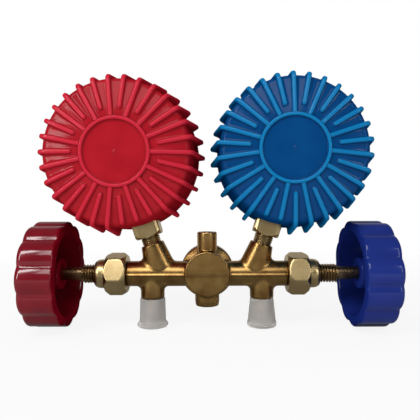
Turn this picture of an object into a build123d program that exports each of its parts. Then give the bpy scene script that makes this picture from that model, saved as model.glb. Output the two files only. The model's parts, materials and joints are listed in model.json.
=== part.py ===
from build123d import *
import os
from math import asin, cos, pi, radians, sin, sqrt, tan

os.makedirs("parts", exist_ok=True)

# Two-valve refrigerant manifold gauge, in millimetres.
# X runs along the manifold from the high side to the low side, Y points
# towards the dials and Z up.  The origin is the mouth of the hook socket.
SIDES = {"high": -1, "low": 1}

# Clearances
RUNNING = 0.05              # radial, between a shaft and the hole it turns in
SEATED = 0.03               # between pieces of one body that sit in each other

# Manifold forging; lengths are from its middle, heights from the valve axis
ARM_D = 13.4
ARM_END = 42.5
SPIGOT_D = 12.0
SPIGOT_LENGTH = 8.0
FLASH_WIDTH = 0.7           # forging line along the arms
FLASH_HEIGHT = 0.35
PORT_X = 29.2
NECK_D = 12.6
NECK_DEPTH = 12.6
FLARE_THREAD_D = 11.1       # 1/4 inch flare, 7/16-20
FLARE_THREAD_LENGTH = 11.2
FLARE_NOSE_D = 6.9
PORT_BORE_D = 4.8
HOOK_STUB_D = 10.6
HOOK_STUB_TOP = 22.3
HOOK_SOCKET_D = 5.0         # tapping size of M6
HOOK_SOCKET_DEPTH = 10.0
CENTRE_STUB_D = 12.9
CENTRE_STUB_LIP_D = 12.2
CENTRE_STUB_DEPTH = 17.0
CENTRE_PORT_D = 8.6         # tapping size of 1/8 NPT
CENTRE_PORT_LENGTH = 8.0
CENTRE_PASSAGE_D = 5.0
BLEND = 2.4                 # forging radius where necks and bosses leave an arm

# Sight-glass housing; lengths along Y
HOUSING_RISE = 0.6
REAR_DISC_D = 23.6
REAR_DISC_FACE = -8.7
REAR_DISC_THICKNESS = 4.4
WAIST_D = 20.4
FLANGE_D = 29.0
FLANGE_START = 4.2
FLANGE_FACE = 12.0
GLASS_D = 20.4
GLASS_THICKNESS = 3.2
GLASS_GASKET_THICKNESS = 1.0
GLASS_RING_THICKNESS = 2.8
GLASS_WINDOW_D = 15.0
GLASS_CHAMBER_BACK = -5.5
GLASS_RING_SLOT = 1.6

# Gauge bosses
BOSS_TILT = 17.5            # degrees outwards from Z
BOSS_FOOT_X = 24.25         # where a boss's axis crosses the valve axis
BOSS_LENGTH = 16.8
BOSS_TOP_D = 12.2
BOSS_FOOT_WIDTH = 18.0      # along the manifold, at the valve axis
BOSS_FOOT_DEPTH = 12.6      # across it
BOSS_BORE_D = 4.2

# Valve; lengths are from the manifold's middle with the valve shut
SEAT_X = 20.5
SEAT_HOLE_D = 4.5
CHAMBER_D = 9.0
THREAD_PITCH = 1.5          # M10 stem
TURNS_OPEN = {"high": 1.5, "low": 3.4}
STEM_THREAD_D = 9.9
STEM_THREAD_OUT = 8.2       # from the arm's end
STEM_THREAD_LENGTH = 13.7
STEM_SHANK_D = 7.0
STEM_SQUARE = 5.2
PLUG_D = 6.6
PLUG_HEAD = 3.0
PLUG_BEVEL = 0.6
PLUG_NECK_D = 3.8
PLUG_NECK_LENGTH = 4.0
PACKING_DEPTH = 5.0         # seat of the packing, cut into the arm's end
PACKING_D = 10.0
PACKING_THICKNESS = 3.0
BONNET_FLATS = 20.0
BONNET_HEX_LENGTH = 11.2
BONNET_CORNER_D = 21.5      # across the corners, which are turned off
BONNET_FACE_D = 19.4
BONNET_CHAMFER = 1.7
BONNET_COLLAR_D = 15.3
BONNET_COLLAR_LENGTH = 2.2
BONNET_NOSE_D = 11.6
BONNET_DOME_R = 5.8
BONNET_LENGTH = 17.0
BONNET_TURN = 19.0          # degrees that a flat is turned up from facing back

# Handwheel
WHEEL_D = 56.0
WHEEL_LOBES = 12
LOBE_RADIUS = 10.0
LOBE_BLEND = 3.0
WHEEL_DEPTH = 18.2
WHEEL_RIM_OUT = 28.9        # from the arm's end
WHEEL_EDGE = 2.4
WHEEL_WALL = 5.5
WHEEL_FLOOR = 3.2
HUB_D = 16.3
HUB_RECESS = 4.0
HUB_POCKET_D = 20.0
HUB_POCKET_DEPTH = 1.2
WHEEL_TURN = {"high": 2.0, "low": 10.0}
WHEEL_SCREW_D = 4.0
WHEEL_SCREW_HEAD_D = 8.0
WHEEL_SCREW_HEAD = 2.6
WHEEL_SCREW_LENGTH = 9.0
WHEEL_SCREW_SLOT = 1.0
WHEEL_SCREW_RECESS = 5.6
WHEEL_SCREW_GAP = 0.6
WHEEL_DRAFT = 0.8

# Dust caps on the hose ports
CAP_TOP_D = {"high": 13.3, "low": 12.5}
CAP_BASE_D = {"high": 13.9, "low": 14.7}
CAP_BRIM_D = {"high": 16.3, "low": 15.5}
CAP_LENGTH = 15.2
CAP_BRIM = 1.8
CAP_FLOOR = 1.2
CAP_BRIM_RISE = 1.4
CAP_GAP = 0.3

# Gauge; radii and lengths in the gauge's own frame: Z towards the viewer of
# the dial, Y up along the stem, origin on the stem's axis
NPT_EXPOSED = {"high": 4.0, "low": 5.0}     # thread left above each boss
GAUGE_YAW = {"high": 0.0, "low": -4.2}
CASE_R = 33.0
CASE_BACK = -20.0
CASE_FRONT = 8.6
CASE_WALL = 0.8
CASE_CORNER = 3.0
BEZEL_WALL = 0.9
BEZEL_FRONT = 13.2
BEZEL_SKIRT = 5.0
BEZEL_LIP = 2.6             # from the case's outside to the window
BEZEL_BEVEL = 1.2
LENS_THICKNESS = 2.0
LENS_GASKET_THICKNESS = 1.2
LENS_GASKET_WIDTH = 1.8
DIAL_EDGE = 2.4             # from the case's outside to the dial's edge
DIAL_BACK = 6.4
DIAL_THICKNESS = 0.6
DIAL_HOLE_R = 1.6
POINTER_BACK = 8.0
POINTER_THICKNESS = 0.5
POINTER_REACH = 24.0
POINTER_TAIL = 8.0
POINTER_HUB_R = 2.6
POINTER_WIDTH = 2.2
POINTER_TAIL_WIDTH = 3.4
POINTER_ZERO = 225.0        # degrees from the dial's X axis

# Socket of the gauge
SOCKET_SQUARE = 14.0
SOCKET_SQUARE_LENGTH = 11.6     # below the case
SOCKET_BLOCK_WIDTH = 13.0
SOCKET_BLOCK_TOP = 13.0
SOCKET_BLOCK_BACK = -7.0
SOCKET_BLOCK_FRONT = -1.0
SOCKET_BORE_D = 3.4
SOCKET_SHOULDER = 1.2       # from the case to the top of the square
SOCKET_CHAMFER = 1.6
RISER_D = 2.6               # bore from the stem up to the tube
RISER_Z = -2.8
NPT_D = 10.2                # across the taper thread where it leaves the square
NPT_LENGTH = 13.2
NPT_TAPER = 1 / 16          # on diameter

# Bourdon tube
TUBE_R = 24.0
TUBE_WIDTH = 2.2
TUBE_HEIGHT = 5.0
TUBE_WALL = 0.4
TUBE_START = -92.0
TUBE_TIP = -15.0
TUBE_TIP_BLOCK = 8.0        # degrees of the arc that the closed tip takes
TIP_PIN_D = 0.9
PIN_STANDOUT = 0.3
TUBE_SLOT_ARC = 20.0        # degrees of the tube's start held in the socket

# Movement
MODULE = 0.25
PINION_TEETH = 12
SECTOR_TEETH = 120          # of the whole wheel that the sector is cut from
SECTOR_CUT = 15
PRESSURE_ANGLE = 25.0
ADDENDUM = 0.9              # in modules
DEDENDUM = 1.25
TOOTH_THINNING = 0.04       # taken off each tooth's thickness
SECTOR_BEARING = -100.0     # direction from the pinion to the sector's arbor
SECTOR_BACK = 1.2
SECTOR_THICKNESS = 1.0
SECTOR_ARBOR_D = 1.6
SECTOR_HUB_R = 2.4
SECTOR_RIM = 1.6
SECTOR_LAST_TOOTH = 11      # teeth below the one in mesh at rest
SECTOR_WINDOW_R = 6.0
SECTOR_SPOKE = 6.0          # degrees of rim beside the window
ARBOR_END_GAP = 0.2
TAIL_LENGTH = 8.0
TAIL_BEARING = -10.0
TAIL_WIDTH = 2.4
LINK_BACK = 2.4
LINK_THICKNESS = 0.6
LINK_WIDTH = 2.0
LINK_PIN_D = 0.9
PIVOT_SLACK = 0.15          # radial, at the tube's tip
PLATE_THICKNESS = 0.9
PLATE_GAP = 4.0
PLATE_WIDTH = 20.0
PLATE_TOP = 9.0
PLATE_BOTTOM = -25.0
PLATE_CORNER = 3.0
PILLAR_D = 2.4
PILLARS = [(-7.6, -21.0), (6.4, -22.6), (0.0, 7.0)]
DIAL_POSTS = [(-7.4, -9.0), (7.4, -9.0)]
DIAL_POST_D = 3.0
DIAL_SCREW_D = 1.4
DIAL_SCREW_HEAD_D = 3.0
DIAL_SCREW_HEAD = 0.7
DIAL_SCREW_LENGTH = 2.2
DIAL_SCREW_SLOT = 0.4
PINION_LENGTH = 1.8
PINION_BACK = 0.7
ARBOR_D = 1.2
HAIRSPRING_TURNS = 4
HAIRSPRING_INNER_R = 1.2
HAIRSPRING_PITCH = 0.8
HAIRSPRING_STRIP = 0.2
HAIRSPRING_WIDTH = 0.7
HAIRSPRING_BACK = 2.9
HAIRSPRING_STUD_R = 0.5

# Boot
BOOT_BACK = -26.0
BOOT_FRONT = 14.6
BOOT_CORNER_Z = -22.2       # where the domed back turns into the side
BOOT_REAR_WALL = 3.3
BOOT_FRONT_WALL = 6.5
BOOT_CORNER = 3.0
BOOT_LIP = 1.6              # from the case's outside to the lip's edge
BOOT_RING_R = 17.2
BOOT_RING_WIDTH = 1.8
BOOT_DISC_RECESS = 1.2
FINS = 30
FIN_WIDTH = 2.0
FIN_ON_BACK = 1.2           # height over the domed back
FIN_REAR_HEIGHT = 1.5
FIN_FRONT_HEIGHT = 3.6
FIN_CORNER = 4.2
FIN_END_Z = 5.5
FIN_CUT = 3.5               # length of the slanted cut at a fin's end
SHORT_FIN_GAP = 4.0
FIN_TURN = {"high": 0.0, "low": -6.0}
LONG_FIN_TURN = 12.0        # from the top to a long fin
FIN_ROOT = 1.0              # how deep a fin's root lies in the body
BOOT_LIP_BEVEL = 1.5
BOOT_STEM_GAP = 0.3
DOME_RADIUS = 60.0

# Derived places
AXIS_Z = -HOOK_STUB_TOP
SPIGOT_END = ARM_END + SPIGOT_LENGTH
BONNET_END = ARM_END + BONNET_LENGTH
STEM_THREAD_START = ARM_END + STEM_THREAD_OUT
WHEEL_RIM_X = ARM_END + WHEEL_RIM_OUT
ACROSS = Plane((0, 0, AXIS_Z), x_dir=(0, 1, 0), z_dir=(1, 0, 0))
LEVEL = Plane((0, 0, AXIS_Z), x_dir=(1, 0, 0), z_dir=(0, 0, 1))
HOUSING = Plane((0, 0, AXIS_Z + HOUSING_RISE), x_dir=(1, 0, 0), z_dir=(0, 1, 0))
WHEEL_CAVITY_D = WHEEL_D - 2 * WHEEL_WALL
BEZEL_R = CASE_R + BEZEL_WALL
BEZEL_WINDOW_R = CASE_R - BEZEL_LIP
DIAL_R = CASE_R - DIAL_EDGE
SOCKET_SQUARE_END = CASE_R + SOCKET_SQUARE_LENGTH
GAUGE_RISE = {side: SOCKET_SQUARE_END + exposed for side, exposed in NPT_EXPOSED.items()}
BOOT_REAR_R = CASE_R + BOOT_REAR_WALL
BOOT_FRONT_R = CASE_R + BOOT_FRONT_WALL
BOOT_LIP_R = CASE_R - BOOT_LIP
FIN_REAR_R = BOOT_REAR_R + FIN_REAR_HEIGHT
FIN_FRONT_R = BOOT_FRONT_R + FIN_FRONT_HEIGHT
SECTOR_PITCH_R = MODULE * SECTOR_TEETH / 2
PINION_PITCH_R = MODULE * PINION_TEETH / 2
GEAR_CENTRES = SECTOR_PITCH_R + PINION_PITCH_R
PLATE_BACK = SOCKET_BLOCK_FRONT
PLATE_INNER = PLATE_BACK + PLATE_THICKNESS
FRONT_PLATE_BACK = PLATE_INNER + PLATE_GAP
PLATE_HALF = PLATE_WIDTH / 2 - PLATE_CORNER
TUBE_CENTRE_Z = (SOCKET_BLOCK_BACK + SOCKET_BLOCK_FRONT) / 2
HAIRSPRING_OUTER_R = HAIRSPRING_INNER_R + HAIRSPRING_TURNS * HAIRSPRING_PITCH
HAIRSPRING_STUD = (HAIRSPRING_OUTER_R + HAIRSPRING_STRIP / 2 + HAIRSPRING_STUD_R, 0)
LENS_BACK = CASE_FRONT + LENS_GASKET_THICKNESS
FLARE_NOSE = (FLARE_THREAD_D - FLARE_NOSE_D) / 2        # 45 degree cone
GLASS_SEAT = FLANGE_FACE - GLASS_RING_THICKNESS - GLASS_THICKNESS - GLASS_GASKET_THICKNESS


def polar(radius, degrees):
    """A point at a radius and an angle."""
    return radius * cos(radians(degrees)), radius * sin(radians(degrees))


def valve_plane(sign, lift=0.0):
    """Plane across a valve's axis in the middle of the body, facing outwards."""
    return Plane((sign * lift, 0, AXIS_Z), x_dir=(0, -1, 0), z_dir=(sign, 0, 0))


def stem_plane(sign):
    """Plane across a gauge stem's axis where it crosses the valve axis."""
    tilt = radians(BOSS_TILT)
    return Plane(
        (sign * BOSS_FOOT_X, 0, AXIS_Z),
        x_dir=(0, -1, 0),
        z_dir=(sign * sin(tilt), 0, cos(tilt)),
    )


def gauge_plane(side):
    """The gauge's own frame: Z towards the dial's viewer, Y up its stem."""
    stem = stem_plane(SIDES[side])
    up = stem.z_dir
    front = Vector(0, 1, 0).rotate(Axis((0, 0, 0), up), GAUGE_YAW[side])
    centre = stem.origin + up * (BOSS_LENGTH + GAUGE_RISE[side])
    return Plane(centre, x_dir=up.cross(front), z_dir=front)


def beside(plane):
    """Plane through another's normal: X is the radius, Y the height."""
    return Plane(plane.origin, x_dir=plane.x_dir, z_dir=-plane.y_dir)


def turned(plane, *points):
    """Ring or disc turned about a plane's normal from (radius, height) points."""
    with BuildSketch(beside(plane), mode=Mode.PRIVATE) as profile:
        with BuildLine():
            Polyline(*points, close=True)
        make_face()
    return profile.sketch, Axis(plane.origin, plane.z_dir)


def npt_top(side):
    """Height up a boss's axis where its gauge's taper thread begins."""
    return BOSS_LENGTH + GAUGE_RISE[side] - SOCKET_SQUARE_END


def npt_radius(depth):
    """Radius of a gauge's taper thread at a depth below where it begins."""
    return (NPT_D - depth * NPT_TAPER) / 2


def write(piece, node):
    """Label a finished piece and write its STEP file."""
    piece.part.label = node
    export_step(piece.part, f"parts/{node}.step")


def tooth_face(teeth, thinning):
    """One gear tooth along X, its flanks as arcs through three involute points."""
    pitch_r = MODULE * teeth / 2
    base_r = pitch_r * cos(radians(PRESSURE_ANGLE))
    root_r = pitch_r - DEDENDUM * MODULE
    tip_r = pitch_r + ADDENDUM * MODULE
    at_pitch = tan(radians(PRESSURE_ANGLE)) - radians(PRESSURE_ANGLE)
    half = (pi * MODULE / 2 - thinning) / 2 / pitch_r

    def flank(radius, side):
        """Point on a flank: involute above the base circle, radial below it."""
        roll = sqrt(max((radius / base_r) ** 2 - 1, 0))
        involute = roll - atan_of(roll)
        angle = half + at_pitch - involute
        return radius * cos(angle), side * radius * sin(angle)

    low = max(base_r, root_r)
    middle = (low + tip_r) / 2
    foot = root_r - MODULE / 2
    with BuildSketch(mode=Mode.PRIVATE) as tooth:
        with BuildLine():
            ThreePointArc(flank(low, -1), flank(middle, -1), flank(tip_r, -1))
            Line(flank(tip_r, -1), flank(tip_r, 1))
            ThreePointArc(flank(tip_r, 1), flank(middle, 1), flank(low, 1))
            Line(flank(low, 1), flank(foot, 1))
            Line(flank(foot, 1), flank(foot, -1))
            Line(flank(foot, -1), flank(low, -1))
        make_face()
    return tooth.sketch


def atan_of(slope):
    """Angle whose tangent is given, from the sine of the same angle."""
    return asin(slope / sqrt(1 + slope * slope))


# ---------------------------------------------------------------- manifold
with BuildPart() as manifold_body:
    with BuildSketch(ACROSS):
        Circle(ARM_D / 2)
    extrude(amount=ARM_END, both=True)
    for sign in SIDES.values():
        with BuildSketch(stem_plane(sign)):
            Ellipse(BOSS_FOOT_DEPTH / 2, BOSS_FOOT_WIDTH / 2)
        with BuildSketch(stem_plane(sign).offset(BOSS_LENGTH)):
            Circle(BOSS_TOP_D / 2)
        loft()
        with Locations(LEVEL.location * Location((sign * PORT_X, 0, 0))):
            Cylinder(NECK_D / 2, NECK_DEPTH, align=(Align.CENTER, Align.CENTER, Align.MAX))
    seams = manifold_body.edges().filter_by(
        lambda edge: edge.geom_type not in (GeomType.LINE, GeomType.CIRCLE)
    )
    fillet(seams, BLEND)
    with BuildSketch(LEVEL):
        Rectangle(2 * ARM_END, ARM_D + 2 * FLASH_HEIGHT)
    extrude(amount=FLASH_WIDTH / 2, both=True)
    with BuildSketch(ACROSS):
        Circle(SPIGOT_D / 2)
    extrude(amount=SPIGOT_END, both=True)
    # sight-glass housing, hook stub and centre port
    revolve(*turned(
        HOUSING,
        (0, REAR_DISC_FACE),
        (REAR_DISC_D / 2 - FLASH_HEIGHT, REAR_DISC_FACE),
        (REAR_DISC_D / 2, REAR_DISC_FACE + FLASH_HEIGHT),
        (REAR_DISC_D / 2, REAR_DISC_FACE + REAR_DISC_THICKNESS),
        (WAIST_D / 2, REAR_DISC_FACE + REAR_DISC_THICKNESS + BLEND),
        (WAIST_D / 2, FLANGE_START - BLEND),
        (FLANGE_D / 2, FLANGE_START),
        (FLANGE_D / 2, FLANGE_FACE),
        (0, FLANGE_FACE),
    ))
    revolve(*turned(
        LEVEL,
        (0, -CENTRE_STUB_DEPTH),
        (CENTRE_STUB_LIP_D / 2, -CENTRE_STUB_DEPTH),
        (CENTRE_STUB_D / 2, -CENTRE_STUB_DEPTH + BLEND),
        (CENTRE_STUB_D / 2, 0),
        (HOOK_STUB_D / 2, 0),
        (HOOK_STUB_D / 2, HOOK_STUB_TOP - FLASH_HEIGHT),
        (HOOK_STUB_D / 2 - FLASH_HEIGHT, HOOK_STUB_TOP),
        (0, HOOK_STUB_TOP),
    ))
    # passages
    revolve(*turned(
        HOUSING,
        (0, GLASS_CHAMBER_BACK),
        (GLASS_WINDOW_D / 2, GLASS_CHAMBER_BACK),
        (GLASS_WINDOW_D / 2, GLASS_SEAT),
        (GLASS_D / 2, GLASS_SEAT),
        (GLASS_D / 2, FLANGE_FACE),
        (0, FLANGE_FACE),
    ), mode=Mode.SUBTRACT)
    with BuildSketch(LEVEL.offset(-CENTRE_STUB_DEPTH)):
        Circle(CENTRE_PASSAGE_D / 2)
    extrude(amount=CENTRE_STUB_DEPTH, mode=Mode.SUBTRACT)
    with BuildSketch(LEVEL.offset(-CENTRE_STUB_DEPTH)):
        Circle(CENTRE_PORT_D / 2)
    extrude(amount=CENTRE_PORT_LENGTH, mode=Mode.SUBTRACT)
    with BuildSketch(LEVEL.offset(HOOK_STUB_TOP)):
        Circle(HOOK_SOCKET_D / 2)
    extrude(amount=-HOOK_SOCKET_DEPTH, mode=Mode.SUBTRACT)
    with BuildSketch(ACROSS):
        Circle(SEAT_HOLE_D / 2)
    extrude(amount=SEAT_X, both=True, mode=Mode.SUBTRACT)
    for side, sign in SIDES.items():
        npt_foot = npt_top(side) - NPT_LENGTH
        revolve(*turned(
            valve_plane(sign),
            (0, SEAT_X),
            (CHAMBER_D / 2, SEAT_X),
            (CHAMBER_D / 2, SPIGOT_END - PACKING_DEPTH),
            (PACKING_D / 2, SPIGOT_END - PACKING_DEPTH),
            (PACKING_D / 2, SPIGOT_END),
            (0, SPIGOT_END),
        ), mode=Mode.SUBTRACT)
        revolve(*turned(
            stem_plane(sign),
            (0, 0),
            (BOSS_BORE_D / 2, 0),
            (BOSS_BORE_D / 2, npt_foot),
            (npt_radius(NPT_LENGTH) + SEATED, npt_foot),
            (npt_radius(npt_top(side) - BOSS_LENGTH) + SEATED, BOSS_LENGTH),
            (0, BOSS_LENGTH),
        ), mode=Mode.SUBTRACT)
        port = LEVEL.location * Location((sign * PORT_X, 0, -NECK_DEPTH))
        port_plane = Plane(port)
        revolve(*turned(
            port_plane,
            (PORT_BORE_D / 2, 0),
            (FLARE_THREAD_D / 2, 0),
            (FLARE_THREAD_D / 2, -FLARE_THREAD_LENGTH),
            (FLARE_NOSE_D / 2, -FLARE_THREAD_LENGTH - FLARE_NOSE),
            (PORT_BORE_D / 2, -FLARE_THREAD_LENGTH - FLARE_NOSE),
        ))
        with BuildSketch(port_plane):
            Circle(PORT_BORE_D / 2)
        extrude(amount=NECK_DEPTH, mode=Mode.SUBTRACT)
write(manifold_body, "manifold_body")

with BuildPart() as sight_glass_gasket:
    with BuildSketch(HOUSING.offset(GLASS_SEAT)):
        Circle(GLASS_D / 2 - RUNNING)
        Circle(GLASS_WINDOW_D / 2, mode=Mode.SUBTRACT)
    extrude(amount=GLASS_GASKET_THICKNESS)
write(sight_glass_gasket, "sight_glass_gasket")

with BuildPart() as sight_glass:
    with BuildSketch(HOUSING.offset(GLASS_SEAT + GLASS_GASKET_THICKNESS)):
        Circle(GLASS_D / 2 - RUNNING)
    extrude(amount=GLASS_THICKNESS)
write(sight_glass, "sight_glass")

with BuildPart() as sight_glass_ring:
    with BuildSketch(HOUSING.offset(FLANGE_FACE - GLASS_RING_THICKNESS)):
        Circle(GLASS_D / 2 - RUNNING)
        Circle(GLASS_WINDOW_D / 2, mode=Mode.SUBTRACT)
    extrude(amount=GLASS_RING_THICKNESS)
    with BuildSketch(HOUSING.offset(FLANGE_FACE)):
        Rectangle(GLASS_D, GLASS_RING_SLOT)
        Circle(GLASS_WINDOW_D / 2, mode=Mode.SUBTRACT)
    extrude(amount=-GLASS_RING_SLOT, mode=Mode.SUBTRACT)
write(sight_glass_ring, "sight_glass_ring")

# ------------------------------------------------------------------ valves
for side, sign in SIDES.items():
    fixed = valve_plane(sign)
    lifted = valve_plane(sign, TURNS_OPEN[side] * THREAD_PITCH)
    shank_hole = STEM_SHANK_D / 2 + RUNNING

    with BuildPart() as bonnet:
        with BuildSketch(fixed.offset(ARM_END)):
            RegularPolygon(BONNET_FLATS / 2, 6, major_radius=False, rotation=30 - sign * BONNET_TURN)
        extrude(amount=BONNET_HEX_LENGTH)
        revolve(*turned(
            fixed,
            (0, ARM_END),
            (BONNET_FACE_D / 2, ARM_END),
            (BONNET_CORNER_D / 2, ARM_END + BONNET_CHAMFER),
            (BONNET_CORNER_D / 2, ARM_END + BONNET_HEX_LENGTH - BONNET_CHAMFER),
            (BONNET_FACE_D / 2, ARM_END + BONNET_HEX_LENGTH),
            (0, ARM_END + BONNET_HEX_LENGTH),
        ), mode=Mode.INTERSECT)
        collar_end = ARM_END + BONNET_HEX_LENGTH + BONNET_COLLAR_LENGTH
        with BuildSketch(beside(fixed)):
            with BuildLine():
                Polyline(
                    (BONNET_COLLAR_D / 2, collar_end),
                    (BONNET_COLLAR_D / 2, ARM_END + BONNET_HEX_LENGTH),
                    (0, ARM_END + BONNET_HEX_LENGTH),
                    (0, BONNET_END),
                    (BONNET_NOSE_D / 2, BONNET_END),
                )
                RadiusArc(
                    (BONNET_COLLAR_D / 2, collar_end),
                    (BONNET_NOSE_D / 2, BONNET_END),
                    -BONNET_DOME_R,
                )
            make_face()
        revolve(axis=Axis(fixed.origin, fixed.z_dir))
        revolve(*turned(
            fixed,
            (0, ARM_END),
            (SPIGOT_D / 2 + SEATED, ARM_END),
            (SPIGOT_D / 2 + SEATED, SPIGOT_END),
            (STEM_THREAD_D / 2 + RUNNING, SPIGOT_END),
            (STEM_THREAD_D / 2 + RUNNING, BONNET_END),
            (0, BONNET_END),
        ), mode=Mode.SUBTRACT)
    write(bonnet, f"{side}_bonnet")

    with BuildPart() as packing:
        with BuildSketch(fixed.offset(SPIGOT_END - PACKING_DEPTH)):
            Circle(PACKING_D / 2 - SEATED)
            Circle(shank_hole, mode=Mode.SUBTRACT)
        extrude(amount=PACKING_THICKNESS)
    write(packing, f"{side}_packing")

    with BuildPart() as packing_washer:
        with BuildSketch(fixed.offset(SPIGOT_END - PACKING_DEPTH + PACKING_THICKNESS)):
            Circle(PACKING_D / 2 - SEATED)
            Circle(shank_hole, mode=Mode.SUBTRACT)
        extrude(amount=PACKING_DEPTH - PACKING_THICKNESS)
    write(packing_washer, f"{side}_packing_washer")

    # the plug's neck turns in the stem's hollow end
    with BuildPart() as seat_plug:
        revolve(*turned(
            lifted,
            (0, SEAT_X),
            (PLUG_D / 2 - PLUG_BEVEL, SEAT_X),
            (PLUG_D / 2, SEAT_X + PLUG_BEVEL),
            (PLUG_D / 2, SEAT_X + PLUG_HEAD),
            (PLUG_NECK_D / 2, SEAT_X + PLUG_HEAD),
            (PLUG_NECK_D / 2, SEAT_X + PLUG_HEAD + PLUG_NECK_LENGTH),
            (0, SEAT_X + PLUG_HEAD + PLUG_NECK_LENGTH),
        ))
    write(seat_plug, f"{side}_seat_plug")

    stem_start = SEAT_X + PLUG_HEAD + RUNNING
    socket_end = SEAT_X + PLUG_HEAD + PLUG_NECK_LENGTH + RUNNING
    thread_end = STEM_THREAD_START + STEM_THREAD_LENGTH
    hub_face = WHEEL_RIM_X + HUB_RECESS
    wheel_face = WHEEL_RIM_X + WHEEL_DEPTH
    hub_pocket = wheel_face - HUB_POCKET_DEPTH
    square_end = hub_pocket - WHEEL_SCREW_GAP
    with BuildPart() as valve_stem:
        revolve(*turned(
            lifted,
            (0, socket_end),
            (PLUG_NECK_D / 2 + RUNNING, socket_end),
            (PLUG_NECK_D / 2 + RUNNING, stem_start),
            (PLUG_D / 2, stem_start),
            (STEM_SHANK_D / 2, stem_start + PLUG_BEVEL),
            (STEM_SHANK_D / 2, STEM_THREAD_START),
            (STEM_THREAD_D / 2, STEM_THREAD_START),
            (STEM_THREAD_D / 2, thread_end - PLUG_BEVEL),
            (STEM_THREAD_D / 2 - PLUG_BEVEL, thread_end),
            (STEM_SHANK_D / 2, thread_end),
            (STEM_SHANK_D / 2, hub_face),
            (0, hub_face),
        ))
        with BuildSketch(lifted.offset(hub_face)):
            Rectangle(STEM_SQUARE, STEM_SQUARE)
        extrude(amount=square_end - hub_face)
        with BuildSketch(lifted.offset(square_end)):
            Circle(WHEEL_SCREW_D / 2 + SEATED)
        extrude(amount=-WHEEL_SCREW_LENGTH, mode=Mode.SUBTRACT)
    write(valve_stem, f"{side}_valve_stem")

    with BuildPart() as handwheel:
        with BuildSketch(lifted.offset(WHEEL_RIM_X)) as lobes:
            Circle(WHEEL_D / 2 - LOBE_BLEND)
            turn = -sign * WHEEL_TURN[side]
            with PolarLocations(WHEEL_D / 2 - LOBE_RADIUS, WHEEL_LOBES, start_angle=turn):
                Circle(LOBE_RADIUS)
            fillet(lobes.vertices(), LOBE_BLEND)
        extrude(amount=WHEEL_DEPTH)
        fillet(handwheel.faces().sort_by(Axis(lifted.origin, lifted.z_dir))[-1].edges(), WHEEL_EDGE)
        revolve(*turned(
            lifted,
            (HUB_D / 2, WHEEL_RIM_X),
            (WHEEL_CAVITY_D / 2, WHEEL_RIM_X),
            (WHEEL_CAVITY_D / 2 - WHEEL_DRAFT, wheel_face - WHEEL_FLOOR),
            (HUB_D / 2, wheel_face - WHEEL_FLOOR),
        ), mode=Mode.SUBTRACT)
        with BuildSketch(lifted.offset(WHEEL_RIM_X)):
            Circle(HUB_D / 2)
        extrude(amount=HUB_RECESS, mode=Mode.SUBTRACT)
        with BuildSketch(lifted.offset(wheel_face)):
            Circle(HUB_POCKET_D / 2)
        extrude(amount=-HUB_POCKET_DEPTH, mode=Mode.SUBTRACT)
        with BuildSketch(lifted.offset(hub_face)):
            Rectangle(STEM_SQUARE + 2 * SEATED, STEM_SQUARE + 2 * SEATED)
        extrude(amount=WHEEL_DEPTH, mode=Mode.SUBTRACT)
    write(handwheel, f"{side}_handwheel")

    with BuildPart() as handwheel_screw:
        with BuildSketch(lifted.offset(hub_pocket)):
            Circle(WHEEL_SCREW_HEAD_D / 2)
        extrude(amount=WHEEL_SCREW_HEAD)
        fillet(handwheel_screw.edges().group_by(Axis(lifted.origin, lifted.z_dir))[-1], WHEEL_SCREW_HEAD / 3)
        with BuildSketch(lifted.offset(hub_pocket)):
            Circle(WHEEL_SCREW_D / 2)
        extrude(amount=-WHEEL_SCREW_LENGTH + WHEEL_SCREW_GAP)
        with BuildSketch(lifted.offset(hub_pocket + WHEEL_SCREW_HEAD)):
            Rectangle(WHEEL_SCREW_RECESS, WHEEL_SCREW_SLOT)
            Rectangle(WHEEL_SCREW_SLOT, WHEEL_SCREW_RECESS)
        extrude(amount=-WHEEL_SCREW_HEAD / 2, mode=Mode.SUBTRACT)
    write(handwheel_screw, f"{side}_handwheel_screw")

    # dust cap, a cup pushed up over the flare thread
    with BuildPart() as port_cap:
        mouth = Plane((sign * PORT_X, 0, AXIS_Z - NECK_DEPTH - CAP_GAP), x_dir=(1, 0, 0), z_dir=(0, 0, 1))
        revolve(*turned(
            mouth,
            (FLARE_THREAD_D / 2 + RUNNING, 0),
            (CAP_TOP_D[side] / 2, 0),
            (CAP_BASE_D[side] / 2, -CAP_LENGTH + CAP_BRIM + CAP_BRIM_RISE),
            (CAP_BRIM_D[side] / 2, -CAP_LENGTH + CAP_BRIM),
            (CAP_BRIM_D[side] / 2, -CAP_LENGTH + CAP_BRIM / 3),
            (CAP_BRIM_D[side] / 2 - CAP_BRIM / 2, -CAP_LENGTH),
            (0, -CAP_LENGTH),
            (0, -CAP_LENGTH + CAP_FLOOR),
            (FLARE_THREAD_D / 2 + RUNNING, -CAP_LENGTH + CAP_FLOOR),
        ))
    write(port_cap, f"{side}_port_cap")

# ------------------------------------------------------------------ gauges
# Each piece is made once in the gauge's own frame and placed in both gauges.
FACE = Plane.XY
SECTOR_ARBOR = polar(GEAR_CENTRES, SECTOR_BEARING)
TAIL_END = tuple(a + b for a, b in zip(SECTOR_ARBOR, polar(TAIL_LENGTH, TAIL_BEARING)))
TIP_PIN = polar(TUBE_R, TUBE_TIP + TUBE_TIP_BLOCK / 2)
MESH_BEARING = SECTOR_BEARING + 180
SECTOR_STEP = 360 / SECTOR_TEETH


def hull_of(*discs):
    """Outline stretched round discs given as (x, y, radius)."""
    with BuildSketch(mode=Mode.PRIVATE) as outline:
        for x, y, radius in discs:
            with Locations((x, y)):
                Circle(radius)
        make_hull(outline.edges())
    return outline.sketch


def facing(degrees):
    """The gauge's plane with its X turned to an angle."""
    return Plane((0, 0, 0), x_dir=(*polar(1, degrees), 0), z_dir=(0, 0, 1))


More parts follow.
